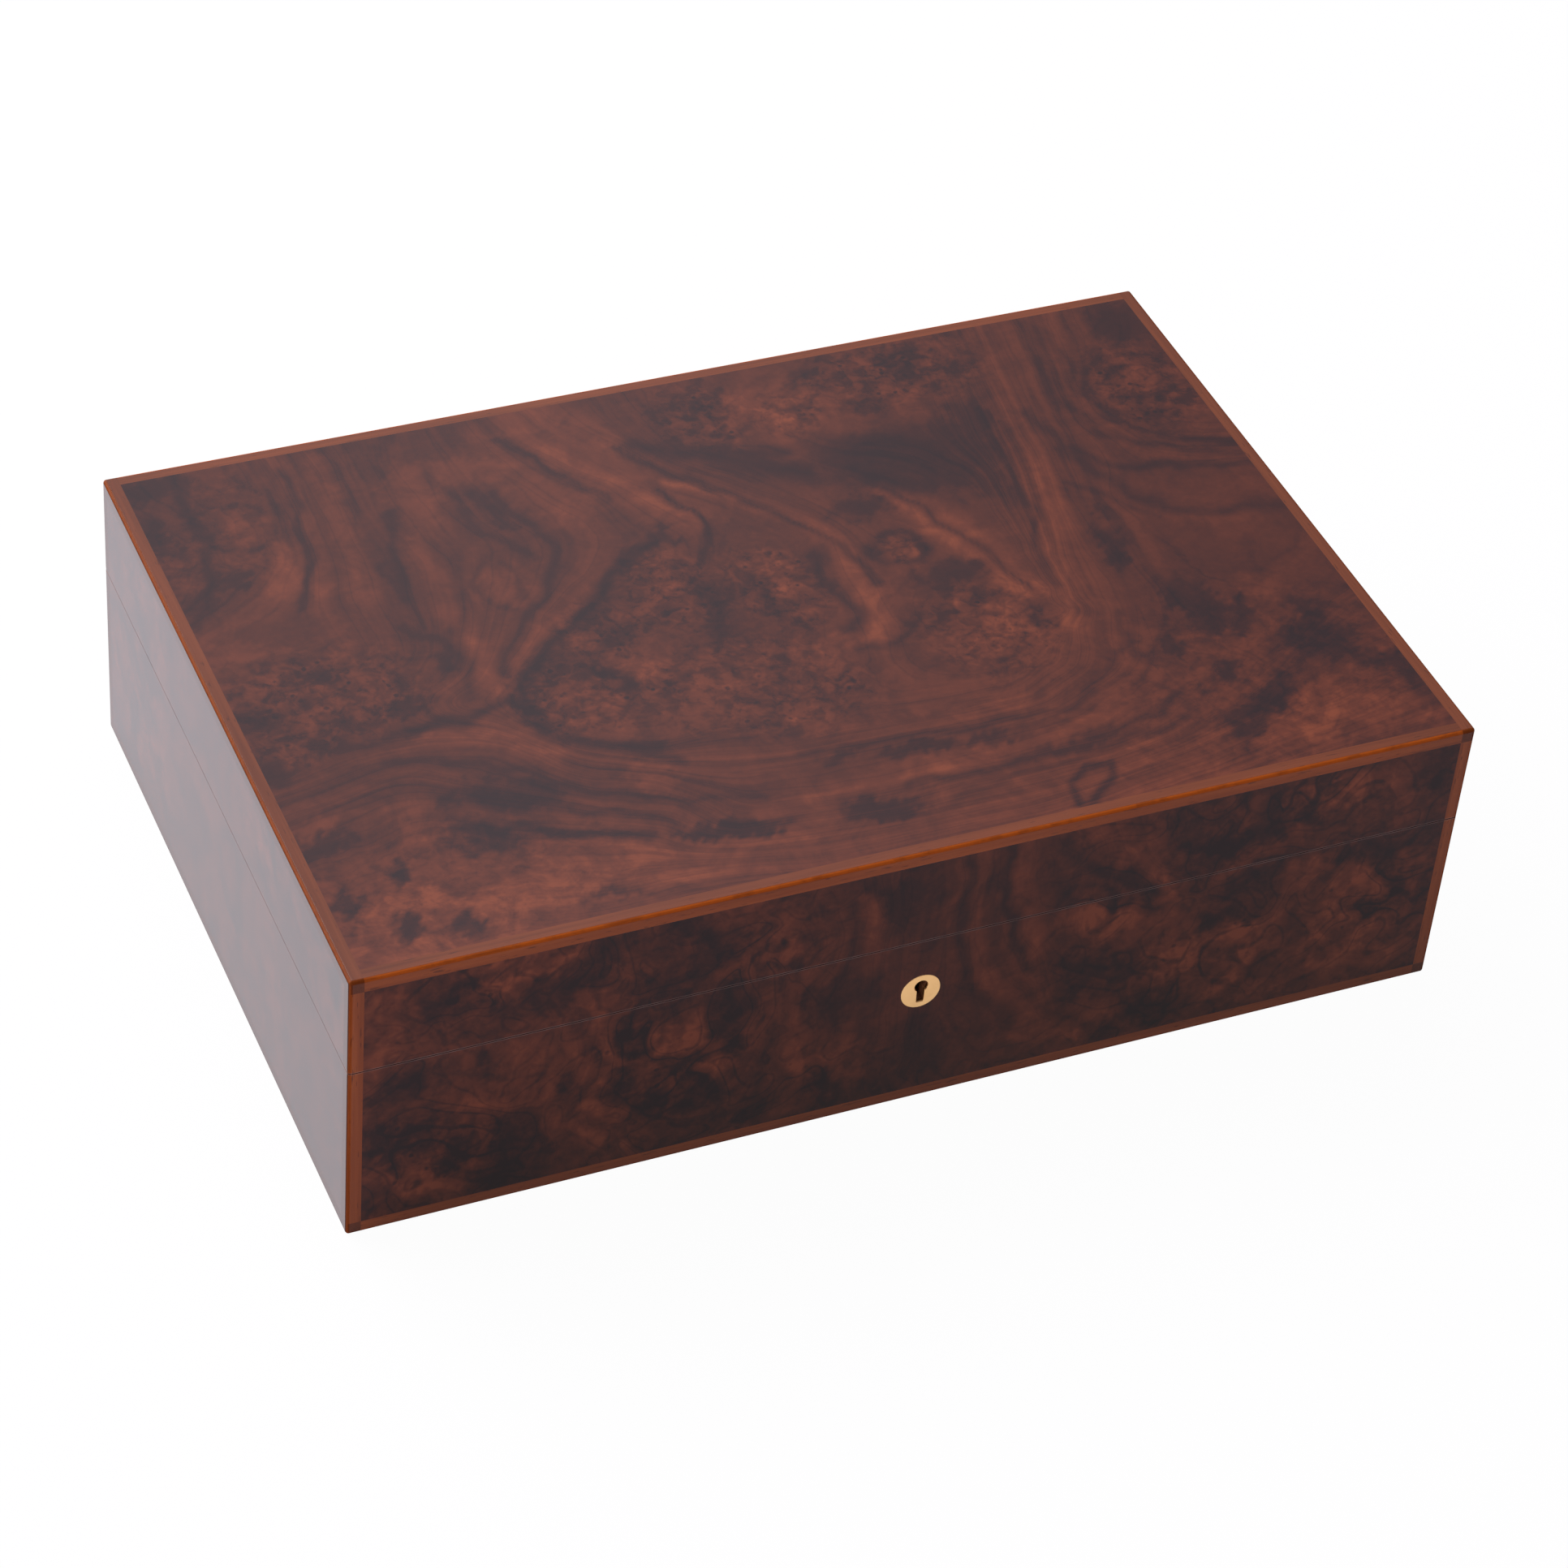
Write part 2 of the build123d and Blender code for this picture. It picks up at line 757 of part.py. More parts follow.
# Keyhole escutcheon: a round brass plate let into the front
escutcheon_blank = disc(escutcheon_radius, escutcheon_front, escutcheon_back)
with BuildPart() as keyhole_escutcheon:
    add(escutcheon_blank.part)
    fillet(keyhole_escutcheon.edges().group_by(Axis.Y)[0], radius=escutcheon_rounding)
    add(keyhole_cut.part, mode=Mode.SUBTRACT)
keep(keyhole_escutcheon, "keyhole_escutcheon")

# Tray: a floor with four walls on it, and a divider that slides along them
tray_half_width = room_half_width - tray_clearance
tray_half_depth = room_half_depth - tray_clearance
tray_floor_top = ledge_top + tray_floor_thickness
tray_floor = block(
    (-tray_half_width, -tray_half_depth, ledge_top),
    (tray_half_width, tray_half_depth, tray_floor_top),
)
keep(tray_floor, "tray_floor")

for name, side in (("front", -1), ("back", 1)):
    outer_y = side * tray_half_depth
    inner_y = side * (tray_half_depth - tray_wall)
    wall = block(
        (-tray_half_width, min(outer_y, inner_y), tray_floor_top),
        (tray_half_width, max(outer_y, inner_y), tray_top),
    )
    keep(wall, f"tray_{name}_wall")

for name, side in (("left", -1), ("right", 1)):
    outer_x = side * tray_half_width
    inner_x = side * (tray_half_width - tray_wall)
    end_blank = block(
        (min(outer_x, inner_x), -tray_half_depth + tray_wall, tray_floor_top),
        (max(outer_x, inner_x), tray_half_depth - tray_wall, tray_top),
    )
    with BuildPart() as tray_end:
        add(end_blank.part)
        with BuildSketch(Plane.YZ.offset(min(outer_x, inner_x))):
            with Locations((0, tray_top)):
                RectangleRounded(finger_notch_width, 2 * finger_notch_depth, finger_notch_radius)
        extrude(amount=tray_wall, mode=Mode.SUBTRACT)
    keep(tray_end, f"tray_{name}_wall")

tray_divider = block(
    (
        tray_divider_x - tray_divider_thickness / 2,
        -tray_half_depth + tray_wall + divider_clearance,
        tray_floor_top + divider_clearance,
    ),
    (
        tray_divider_x + tray_divider_thickness / 2,
        tray_half_depth - tray_wall - divider_clearance,
        tray_top - tray_divider_drop,
    ),
)
keep(tray_divider, "tray_divider")

# Lid: core walls
lid_wall_top = body_top - band_size
for side in ("left", "right"):
    keep(core_wall(side, lid_inner, lid_bottom, lid_wall_top), f"lid_{side}_wall")

lid_back_core = core_wall("back", lid_inner, lid_bottom, lid_wall_top)
with BuildPart() as lid_back_wall:
    add(lid_back_core.part)
    add(lid_hinge_cuts.part, mode=Mode.SUBTRACT)
    add(lid_screw_holes.part, mode=Mode.SUBTRACT)
    add(back_bevel.part, mode=Mode.SUBTRACT)
keep(lid_back_wall, "lid_back_wall")

lid_front_core = core_wall("front", lid_inner, lid_bottom, lid_wall_top)
strike_mortise = block(
    (
        -strike_length / 2 - mortise_fit,
        lock_centre_y - strike_depth / 2 - mortise_fit,
        lid_bottom,
    ),
    (
        strike_length / 2 + mortise_fit,
        -box_depth / 2 + lid_inner,
        lid_bottom + strike_thickness,
    ),
)
with BuildPart() as lid_front_wall:
    add(lid_front_core.part)
    add(strike_mortise.part, mode=Mode.SUBTRACT)
    add(lid_screw_holes.part, mode=Mode.SUBTRACT)
keep(lid_front_wall, "lid_front_wall")

# Lid: top panel, rebated over the walls
panel_flange = block(
    (-veneer_half_width, -veneer_half_depth, lid_wall_top),
    (veneer_half_width, veneer_half_depth, body_top - veneer_thickness),
)
panel_plug = block(
    (-box_width / 2 + lid_inner, -box_depth / 2 + lid_inner, panel_bottom),
    (box_width / 2 - lid_inner, box_depth / 2 - lid_inner, lid_wall_top),
)
with BuildPart() as lid_top_panel:
    add(panel_flange.part)
    add(panel_plug.part)
keep(lid_top_panel, "lid_top_panel")

# Lid: burl veneer
top_sheet = block(
    (-veneer_half_width, -veneer_half_depth, body_top - veneer_thickness),
    (veneer_half_width, veneer_half_depth, body_top),
)
keep(top_sheet, "lid_top_veneer")
keep(veneer_sheet("front", lid_bottom, lid_wall_top), "lid_front_veneer")
keep(end_veneers(lid_bottom, lid_wall_top), "lid_end_veneers")

lid_back_sheet = veneer_sheet("back", lid_bottom, lid_wall_top)
with BuildPart() as lid_back_veneer:
    add(lid_back_sheet.part)
    add(lid_hinge_cuts.part, mode=Mode.SUBTRACT)
    add(back_bevel.part, mode=Mode.SUBTRACT)
keep(lid_back_veneer, "lid_back_veneer")

# Lid: solid strips round the top edges and down the corners
keep(end_strips(lid_wall_top, body_top), "lid_top_end_banding")
keep(long_strips(lid_wall_top, body_top), "lid_top_long_banding")
lid_corners = corner_strips(lid_bottom, lid_wall_top)
with BuildPart() as lid_corner_banding:
    add(lid_corners.part)
    add(back_bevel.part, mode=Mode.SUBTRACT)
keep(lid_corner_banding, "lid_corner_banding")

# Lid: cedar lining, which stops above the lip of the base
lid_liner_bottom = lip_top + lip_headroom
lid_liner_inner = lid_inner + lid_liner_thickness
for name, pair_sides in (("long", ("front", "back")), ("end", ("left", "right"))):
    boards = [
        mitred_board(side, lid_inner, lid_liner_inner, lid_liner_bottom, ceiling)
        for side in pair_sides
    ]
    with BuildPart() as pair:
        for board in boards:
            add(board.part)
    keep(pair, f"lid_{name}_liners")

ceiling_liner = block(
    (-box_width / 2 + lid_inner, -box_depth / 2 + lid_inner, ceiling),
    (box_width / 2 - lid_inner, box_depth / 2 - lid_inner, panel_bottom),
)
keep(ceiling_liner, "lid_ceiling_liner")

# Hygrometer: a brass cup with its face down, a dial, a glass, a needle and its coil
cup_bottom = ceiling - hygrometer_height
glass_radius = hygrometer_radius - hygrometer_wall - glass_fit
glass_bottom = cup_bottom + bezel_thickness
dial_bottom = cup_bottom + dial_height
cup_axis = Axis((hygrometer_x, 0, 0), (0, 0, 1))
dial_seat_radius = bezel_radius
cup_inner_radius = hygrometer_radius - hygrometer_wall
with BuildPart() as hygrometer_case:
    with BuildSketch(Plane.XZ):
        with BuildLine():
            Polyline(
                (hygrometer_x, ceiling),
                (hygrometer_x + hygrometer_radius, ceiling),
                (hygrometer_x + hygrometer_radius, cup_bottom),
                (hygrometer_x + bezel_radius, cup_bottom),
                (hygrometer_x + bezel_radius, glass_bottom),
                (hygrometer_x + cup_inner_radius, glass_bottom),
                (hygrometer_x + cup_inner_radius, dial_bottom + dial_thickness),
                (hygrometer_x + dial_seat_radius, dial_bottom + dial_thickness),
                (hygrometer_x + dial_seat_radius, ceiling - hygrometer_wall),
                (hygrometer_x, ceiling - hygrometer_wall),
                close=True,
            )
        make_face()
    revolve(axis=cup_axis)
    rim = hygrometer_case.edges().filter_by(GeomType.CIRCLE).group_by(Axis.Z)[0].sort_by(SortBy.RADIUS)[-1]
    fillet(rim, radius=bezel_thickness)
keep(hygrometer_case, "hygrometer_case")

with BuildPart() as hygrometer_glass:
    with BuildSketch(Plane.XY.offset(glass_bottom)):
        with Locations((hygrometer_x, 0)):
            Circle(glass_radius)
    extrude(amount=glass_thickness)
keep(hygrometer_glass, "hygrometer_glass")

with BuildPart() as hygrometer_dial:
    with BuildSketch(Plane.XY.offset(dial_bottom)):
        with Locations((hygrometer_x, 0)):
            Circle(glass_radius)
            Circle(spindle_radius + spindle_fit, mode=Mode.SUBTRACT)
    extrude(amount=dial_thickness)
keep(hygrometer_dial, "hygrometer_dial")

# Hygrometer: at rest the needle points between the front and the right, at its usual reading
needle_x = sin(radians(needle_rest_angle))
needle_y = -cos(radians(needle_rest_angle))
needle_bottom = dial_bottom - needle_lift
needle_side = needle_width / 2
with BuildPart() as hygrometer_needle:
    with BuildSketch(Plane.XY.offset(needle_bottom)):
        with Locations((hygrometer_x, 0)):
            Circle(needle_hub_radius)
        with BuildLine():
            Polyline(
                (
                    hygrometer_x + needle_x * needle_length,
                    needle_y * needle_length,
                ),
                (
                    hygrometer_x - needle_x * needle_tail - needle_y * needle_side,
                    -needle_y * needle_tail + needle_x * needle_side,
                ),
                (
                    hygrometer_x - needle_x * needle_tail + needle_y * needle_side,
                    -needle_y * needle_tail - needle_x * needle_side,
                ),
                close=True,
            )
        make_face()
    extrude(amount=needle_thickness)
    with BuildSketch(Plane.XY.offset(needle_bottom)):
        with Locations((hygrometer_x, 0)):
            Circle(spindle_radius)
    extrude(amount=needle_lift + dial_thickness + spindle_behind_dial)
keep(hygrometer_needle, "hygrometer_needle")

# Hygrometer: a flat spiral strip behind the dial, made of half rings that grow by a steady pitch
coil_bottom = ceiling - hygrometer_wall - coil_height
with BuildPart() as hygrometer_coil:
    with BuildSketch(Plane.XY.offset(coil_bottom)):
        for half_turn in range(coil_half_turns):
            facing = 1 if half_turn % 2 == 0 else -1
            shift = 0 if half_turn % 2 == 0 else -coil_pitch / 2
            radius = coil_inner_radius + half_turn * coil_pitch / 2
            centre_x = hygrometer_x + shift
            with BuildLine():
                for size in (radius, radius + coil_strip):
                    ThreePointArc(
                        (centre_x - size, 0),
                        (centre_x, facing * size),
                        (centre_x + size, 0),
                    )
                for end in (-1, 1):
                    Line((centre_x + end * radius, 0), (centre_x + end * (radius + coil_strip), 0))
            make_face()
    extrude(amount=coil_height)
keep(hygrometer_coil, "hygrometer_coil")

# Humidifier: a flat case with a vented face, a sliding shutter behind the vents and a foam block
case_low = ceiling - humidifier_height
case_inner_length = humidifier_length - 2 * humidifier_wall
case_inner_width = humidifier_width - 2 * humidifier_wall
inner_corner = humidifier_corner - humidifier_wall
tab_slot_length = tab_width + shutter_travel + 2 * shutter_side_gap


def vent_slots(start, thickness):
    """The row of vent slots as solids through one sheet."""
    with BuildPart() as slots:
        with BuildSketch(Plane.XY.offset(start)):
            with Locations((humidifier_x, 0)):
                with GridLocations(vent_slot_pitch, 0, vent_slot_count, 1):
                    SlotOverall(vent_slot_length, vent_slot_width, rotation=90)
        extrude(amount=thickness)
    return slots


case_slots = vent_slots(case_low, humidifier_wall)
with BuildPart() as humidifier_case:
    with BuildSketch(Plane.XY.offset(case_low)):
        with Locations((humidifier_x, 0)):
            RectangleRounded(humidifier_length, humidifier_width, humidifier_corner)
    extrude(amount=humidifier_height)
    with BuildSketch(Plane.XY.offset(case_low + humidifier_wall)):
        with Locations((humidifier_x, 0)):
            RectangleRounded(case_inner_length, case_inner_width, inner_corner)
    extrude(amount=humidifier_height - humidifier_wall, mode=Mode.SUBTRACT)
    add(case_slots.part, mode=Mode.SUBTRACT)
    with BuildSketch(Plane.XY.offset(case_low)):
        with Locations((humidifier_x + shutter_travel / 2, -tab_offset)):
            Rectangle(tab_slot_length, tab_depth + 2 * shutter_side_gap)
    extrude(amount=humidifier_wall, mode=Mode.SUBTRACT)
keep(humidifier_case, "humidifier_case")

shutter_bottom = case_low + humidifier_wall + shutter_gap
shutter_slots = vent_slots(shutter_bottom, shutter_thickness)
shutter_length = case_inner_length - 2 * shutter_travel - 2 * shutter_side_gap
with BuildPart() as humidifier_shutter:
    with BuildSketch(Plane.XY.offset(shutter_bottom)):
        with Locations((humidifier_x, 0)):
            RectangleRounded(shutter_length, case_inner_width - 2 * shutter_side_gap, inner_corner)
    extrude(amount=shutter_thickness)
    add(shutter_slots.part, mode=Mode.SUBTRACT)
    with BuildSketch(Plane.XY.offset(case_low - tab_height)):
        with Locations((humidifier_x, -tab_offset)):
            Rectangle(tab_width, tab_depth)
    extrude(amount=tab_height + humidifier_wall + shutter_gap)
keep(humidifier_shutter, "humidifier_shutter")

foam_bottom = shutter_bottom + shutter_thickness + shutter_gap
foam_length = case_inner_length - 2 * foam_gap
foam_width = case_inner_width - 2 * foam_gap
with BuildPart() as humidifier_foam:
    with BuildSketch(Plane.XY.offset(foam_bottom)):
        with Locations((humidifier_x, 0)):
            RectangleRounded(foam_length, foam_width, inner_corner)
    extrude(amount=ceiling - foam_bottom)
keep(humidifier_foam, "humidifier_foam")
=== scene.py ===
"""Looks of a desk humidor in gloss walnut burl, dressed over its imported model.

Metres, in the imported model's frame. The figure of the veneer is laid out in millimetres.
"""
import math

import bmesh
import bpy
import numpy as np
from mathutils import Matrix, Vector


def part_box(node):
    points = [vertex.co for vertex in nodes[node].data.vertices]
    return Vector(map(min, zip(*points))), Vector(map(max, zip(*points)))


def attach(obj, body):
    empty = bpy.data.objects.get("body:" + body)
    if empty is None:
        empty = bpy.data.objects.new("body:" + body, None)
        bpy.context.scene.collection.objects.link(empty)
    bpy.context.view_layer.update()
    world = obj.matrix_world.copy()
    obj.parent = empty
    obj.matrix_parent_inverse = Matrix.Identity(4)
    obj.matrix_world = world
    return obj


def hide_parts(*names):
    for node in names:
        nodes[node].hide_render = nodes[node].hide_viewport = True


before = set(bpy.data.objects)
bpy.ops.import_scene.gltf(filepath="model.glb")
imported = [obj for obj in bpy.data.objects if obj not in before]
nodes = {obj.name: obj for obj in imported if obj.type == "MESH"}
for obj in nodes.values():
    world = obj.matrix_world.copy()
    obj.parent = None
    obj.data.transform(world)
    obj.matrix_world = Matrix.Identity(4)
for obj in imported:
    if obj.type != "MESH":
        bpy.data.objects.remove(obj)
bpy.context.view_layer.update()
millimetre = 0.001

# Camera of the photograph: where it stands, where it looks and its lens
camera_place = (-0.5416, -1.1241, 1.1011)
camera_azimuth = -26.08
camera_elevation = 40.60
camera_roll = 5.36
camera_lens = 106.3
camera_film = 36.0

# Light: a pale lavender room and one large soft lamp. The room turns brighter from one direction to
# another towards the back, and dims in the same way far to the right
room_tint = (0.98, 0.925, 1.0)
room_front = 0.30
room_back = 0.92
room_turn_from = -0.3
room_turn_to = 0.5
room_dim_from = 0.27
room_dim_to = 0.46
room_dim_share = 0.5
lamp_place = (-1.25, 1.85, 1.75)
lamp_aim = (0.0, 0.0, 0.05)
lamp_size = 2.8
lamp_power = 104.0
floor_half = 6.0
floor_tint = (0.95, 0.870, 1.0)
floor_white_to_camera = 0.97
floor_white_in_gloss = 0.6

# Lacquer: weight of its clear coat on the front and back, and its index on the two ends
long_face_gloss = 0.42
end_gloss_index = 1.65

# Burl: strength of painted strokes, how unevenly they are broken up, reach of the swirls in
# millimetres, then strength of marbling, of folded patches and of their outlines
calm_burl = (0.35, 1.8, 10.0, 0.06, 0.04, 0.06)
wild_burl = (0.34, 1.2, 50.0, 0.03, 0.24, 0.32)

# Spacing of the grids: the veneer's carries the figure
sheet_step = 1.5 * millimetre
felt_step = 4 * millimetre

# Height of the seam, half way between the walls of base and lid
base_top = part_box("base_front_wall")[1].z
lid_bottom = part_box("lid_front_wall")[0].z
seam_height = (base_top + lid_bottom) / 2


class Finish:
    """A material, or the room's light, under construction. Each call adds nodes and gives the last output.

    The scale of a noise or of cells is how many fit into one unit of the vector: a metre, unless the
    vector is stretched.
    """

    def __init__(self, name, kept_in=bpy.data.materials):
        self.owner = kept_in.new(name)
        self.owner.use_nodes = True
        self.tree = self.owner.node_tree
        self.tree.nodes.clear()

    def node(self, kind, inputs=None, **settings):
        """One node, with its settings. An input is linked to an output or given a value."""
        made = self.tree.nodes.new(kind)
        for key, value in settings.items():
            setattr(made, key, value)
        for key, value in (inputs or {}).items():
            if isinstance(value, bpy.types.NodeSocket):
                self.tree.links.new(value, made.inputs[key])
            else:
                made.inputs[key].default_value = value
        return made

    def place(self):
        """Position in the object's own frame."""
        return self.node("ShaderNodeTexCoord").outputs["Object"]

    def facing(self):
        """The surface's direction in the object's own frame, as x, y and z."""
        normal = self.node("ShaderNodeTexCoord").outputs["Normal"]
        return self.parts(normal)

    def parts(self, vector):
        return self.node("ShaderNodeSeparateXYZ", {0: vector}).outputs

    def joined(self, x, y, z):
        return self.node("ShaderNodeCombineXYZ", {0: x, 1: y, 2: z}).outputs[0]

    def painted(self, name):
        """A value that the mesh carries at its points."""
        return self.node("ShaderNodeAttribute", attribute_name=name).outputs["Fac"]

    def math(self, operation, first, second=0.0, third=0.0):
        made = self.node("ShaderNodeMath", {0: first, 1: second, 2: third}, operation=operation)
        return made.outputs[0]

    def stretched(self, vector, scale):
        return self.node("ShaderNodeMapping", {"Vector": vector, "Scale": scale}).outputs[0]

    def noise(self, vector, scale, detail=3.0, roughness=0.55, distortion=0.0):
        inputs = {
            "Vector": vector,
            "Scale": scale,
            "Detail": detail,
            "Roughness": roughness,
            "Distortion": distortion,
        }
        return self.node("ShaderNodeTexNoise", inputs).outputs[0]

    def grain(self, vector, along, across_scale, along_scale, detail, roughness=0.55, distortion=0.0):
        """A noise drawn out along one axis, as in wood grain and brushed metal."""
        scale = [across_scale] * 3
        scale[along] = along_scale
        return self.noise(self.stretched(vector, scale), 1.0, detail, roughness, distortion)

    def warped(self, vector, scale, detail, reach):
        """The vector shifted by a noise of its own along each axis."""
        inputs = {"Vector": vector, "Scale": scale, "Detail": detail}
        shift = self.node("ShaderNodeTexNoise", inputs).outputs[1]
        inputs = {0: shift, 1: (reach, reach, reach), 2: vector}
        return self.node("ShaderNodeVectorMath", inputs, operation="MULTIPLY_ADD").outputs[0]

    def cells(self, vector, scale):
        return self.node("ShaderNodeTexVoronoi", {"Vector": vector, "Scale": scale}).outputs

    def ramp(self, value, start, end, low=0.0, high=1.0):
        """A smooth step from low to high as the value goes from start to end."""
        inputs = {0: value, 1: start, 2: end, 3: low, 4: high}
        return self.node("ShaderNodeMapRange", inputs, interpolation_type="SMOOTHSTEP").outputs[0]

    def colours(self, value, stops):
        made = self.node("ShaderNodeValToRGB", {0: value})
        elements = made.color_ramp.elements
        while len(elements) < len(stops):
            elements.new(0.5)
        for element, (position, colour) in zip(elements, stops):
            element.position = position
            element.color = (*colour, 1.0)
        return made.outputs[0]

    def mix(self, amount, first, second, blend="MIX"):
        first = first if isinstance(first, bpy.types.NodeSocket) else (*first, 1.0)
        second = second if isinstance(second, bpy.types.NodeSocket) else (*second, 1.0)
        inputs = {0: amount, 6: first, 7: second}
        return self.node("ShaderNodeMix", inputs, data_type="RGBA", blend_type=blend).outputs[2]

    def dimmed(self, colour, share, amount=1.0):
        """The colour multiplied by a share from 0 to 1."""
        return self.mix(amount, colour, self.joined(share, share, share), "MULTIPLY")

    def bump(self, height, distance, strength=1.0):
        inputs = {"Height": height, "Distance": distance, "Strength": strength}
        return self.node("ShaderNodeBump", inputs).outputs[0]

    def surface(self, inputs):
        """Ends the material in one physically based surface."""
        shader = self.node("ShaderNodeBsdfPrincipled", inputs)
        self.node("ShaderNodeOutputMaterial", {0: shader.outputs[0]})
        return self.owner


# Figure of the veneer
def stepped(line, spacing):
    """Points at even spacing along a given line."""
    line = np.array(line, float)
    runs = np.hypot(*np.diff(line, axis=0).T)
    travelled = np.concatenate([[0.0], np.cumsum(runs)])
    stations = np.linspace(0.0, travelled[-1], max(2, int(travelled[-1] / spacing) + 1))
    return np.column_stack([np.interp(stations, travelled, line[:, axis]) for axis in (0, 1)])


def flow_field(lines, x, y):
    """Number of the growth line at each place, between given growth lines.

    A thin-plate spline: a tilted plane plus a sum of r squared times log r about each point.
    """
    unit = 100.0
    anchor_spacing = 12.0
    smoothing = 0.002
    stations = [stepped(line, anchor_spacing) for number, line in lines]
    anchors = np.concatenate(stations) / unit
    values = np.concatenate([
        np.full(len(points), float(number)) for (number, line), points in zip(lines, stations)
    ])

    def kernel(first, second):
        square = ((first[:, None, :] - second[None, :, :]) ** 2).sum(axis=2)
        return square * np.log(square + 1e-12)

    count = len(anchors)
    system = np.zeros((count + 3, count + 3))
    system[:count, :count] = kernel(anchors, anchors) + smoothing * np.eye(count)
    system[:count, count] = 1.0
    system[:count, count + 1:] = anchors
    system[count:, :count] = system[:count, count:].T
    weights = np.linalg.solve(system, np.concatenate([values, np.zeros(3)]))
    places = np.column_stack([x, y]) / unit
    plane = weights[count] + places @ weights[count + 1:]
    return kernel(places, anchors) @ weights[:count] + plane


def wander(x, y, reach, wavelength, phase):
    """A smooth random-looking shift: a sum of four crossed sine waves."""
    turns = 2 * math.pi / wavelength
    return reach * (
        np.sin(turns * (x + 0.4 * y) + phase)
        + np.sin(turns * (1.7 * y - 0.6 * x) + 2.1 * phase)
        + 0.6 * np.sin(turns * (2.9 * x + 1.3 * y) + 3.3 * phase)
        + 0.6 * np.sin(turns * (3.1 * y - 2.2 * x) + 4.7 * phase)
    )


def bent_by(waves, x, y, phase):
    """Coordinates shifted by waves, each given by its reach and length, so that edges look grown."""
    bent_x = x + sum(wander(x, y, reach, length, phase + length) for reach, length in waves)
    bent_y = y + sum(wander(y, x, reach, length, phase + 2 * length) for reach, length in waves)
    return bent_x, bent_y


calm_waves = ((0.9, 60.0), (0.3, 26.0))
ragged_waves = ((1.2, 38.0), (0.9, 14.0), (0.5, 6.5))


def near_line(x, y, line, width):
    """1 on a line, falling off as a bell curve of the distance to its nearest run."""
    nearest = np.full(x.shape, 1e9)
    points = np.array(line, float)
    for start, end in zip(points[:-1], points[1:]):
        run = end - start
        share = ((x - start[0]) * run[0] + (y - start[1]) * run[1]) / (run @ run)
        share = np.clip(share, 0.0, 1.0)
        gap = np.hypot(x - start[0] - share * run[0], y - start[1] - share * run[1])
        nearest = np.minimum(nearest, gap)
    return np.exp(-((nearest / width) ** 2))


def near_spot(x, y, centre, radii, turn=0.0):
    """1 inside an ellipse with a soft edge, from its centre, radii and turn in degrees."""
    edge_steepness = 3.5
    angle = math.radians(turn)
    along = (x - centre[0]) * math.cos(angle) + (y - centre[1]) * math.sin(angle)
    across = (y - centre[1]) * math.cos(angle) - (x - centre[0]) * math.sin(angle)
    distance = np.hypot(along / radii[0], across / radii[1])
    return 0.5 - 0.5 * np.tanh(edge_steepness * (distance - 1.0))


def near_ring(x, y, centre, radius, width):
    """1 on a circle, falling off on both sides."""
    gap = np.hypot(x - centre[0], y - centre[1]) - radius
    return np.exp(-((gap / width) ** 2))


def paint(calm, ragged, lines, spots, rings, darkness, painted_light=0.0):
    """Light and dark of the figure: painted light and the strongest light stroke, under the dark strokes.

    Each stroke starts with its strength, below 0 if it is dark. A line goes on with its width and
    points, a spot with its centre, radii and turn, a ring with its centre, radius and width. Lines and
    rings are drawn on the calm coordinates, spots on the ragged ones.
    """
    light = np.zeros(calm[0].shape)
    dark = np.zeros(calm[0].shape)

    def add(strength, mask):
        if strength > 0:
            np.maximum(light, strength * mask, out=light)
        else:
            np.maximum(dark, -strength * mask, out=dark)

    for strength, width, line in lines:
        add(strength, near_line(*calm, line, width))
    for strength, centre, radii, turn in spots:
        add(strength, near_spot(*ragged, centre, radii, turn))
    for strength, centre, radius, width in rings:
        add(strength, near_ring(*calm, centre, radius, width))
    return (light + painted_light) * (1.0 - np.minimum(dark, 1.0)) - darkness * dark


def burl_mask(ragged, groups, least=0.0):
    """How much burl there is at each place, from groups of clusters that share a strength."""
    burl = np.full(ragged[0].shape, least)
    for strength, clusters in groups:
        for centre, radii in clusters:
            np.maximum(burl, strength * near_spot(*ragged, centre, radii), out=burl)
    return burl


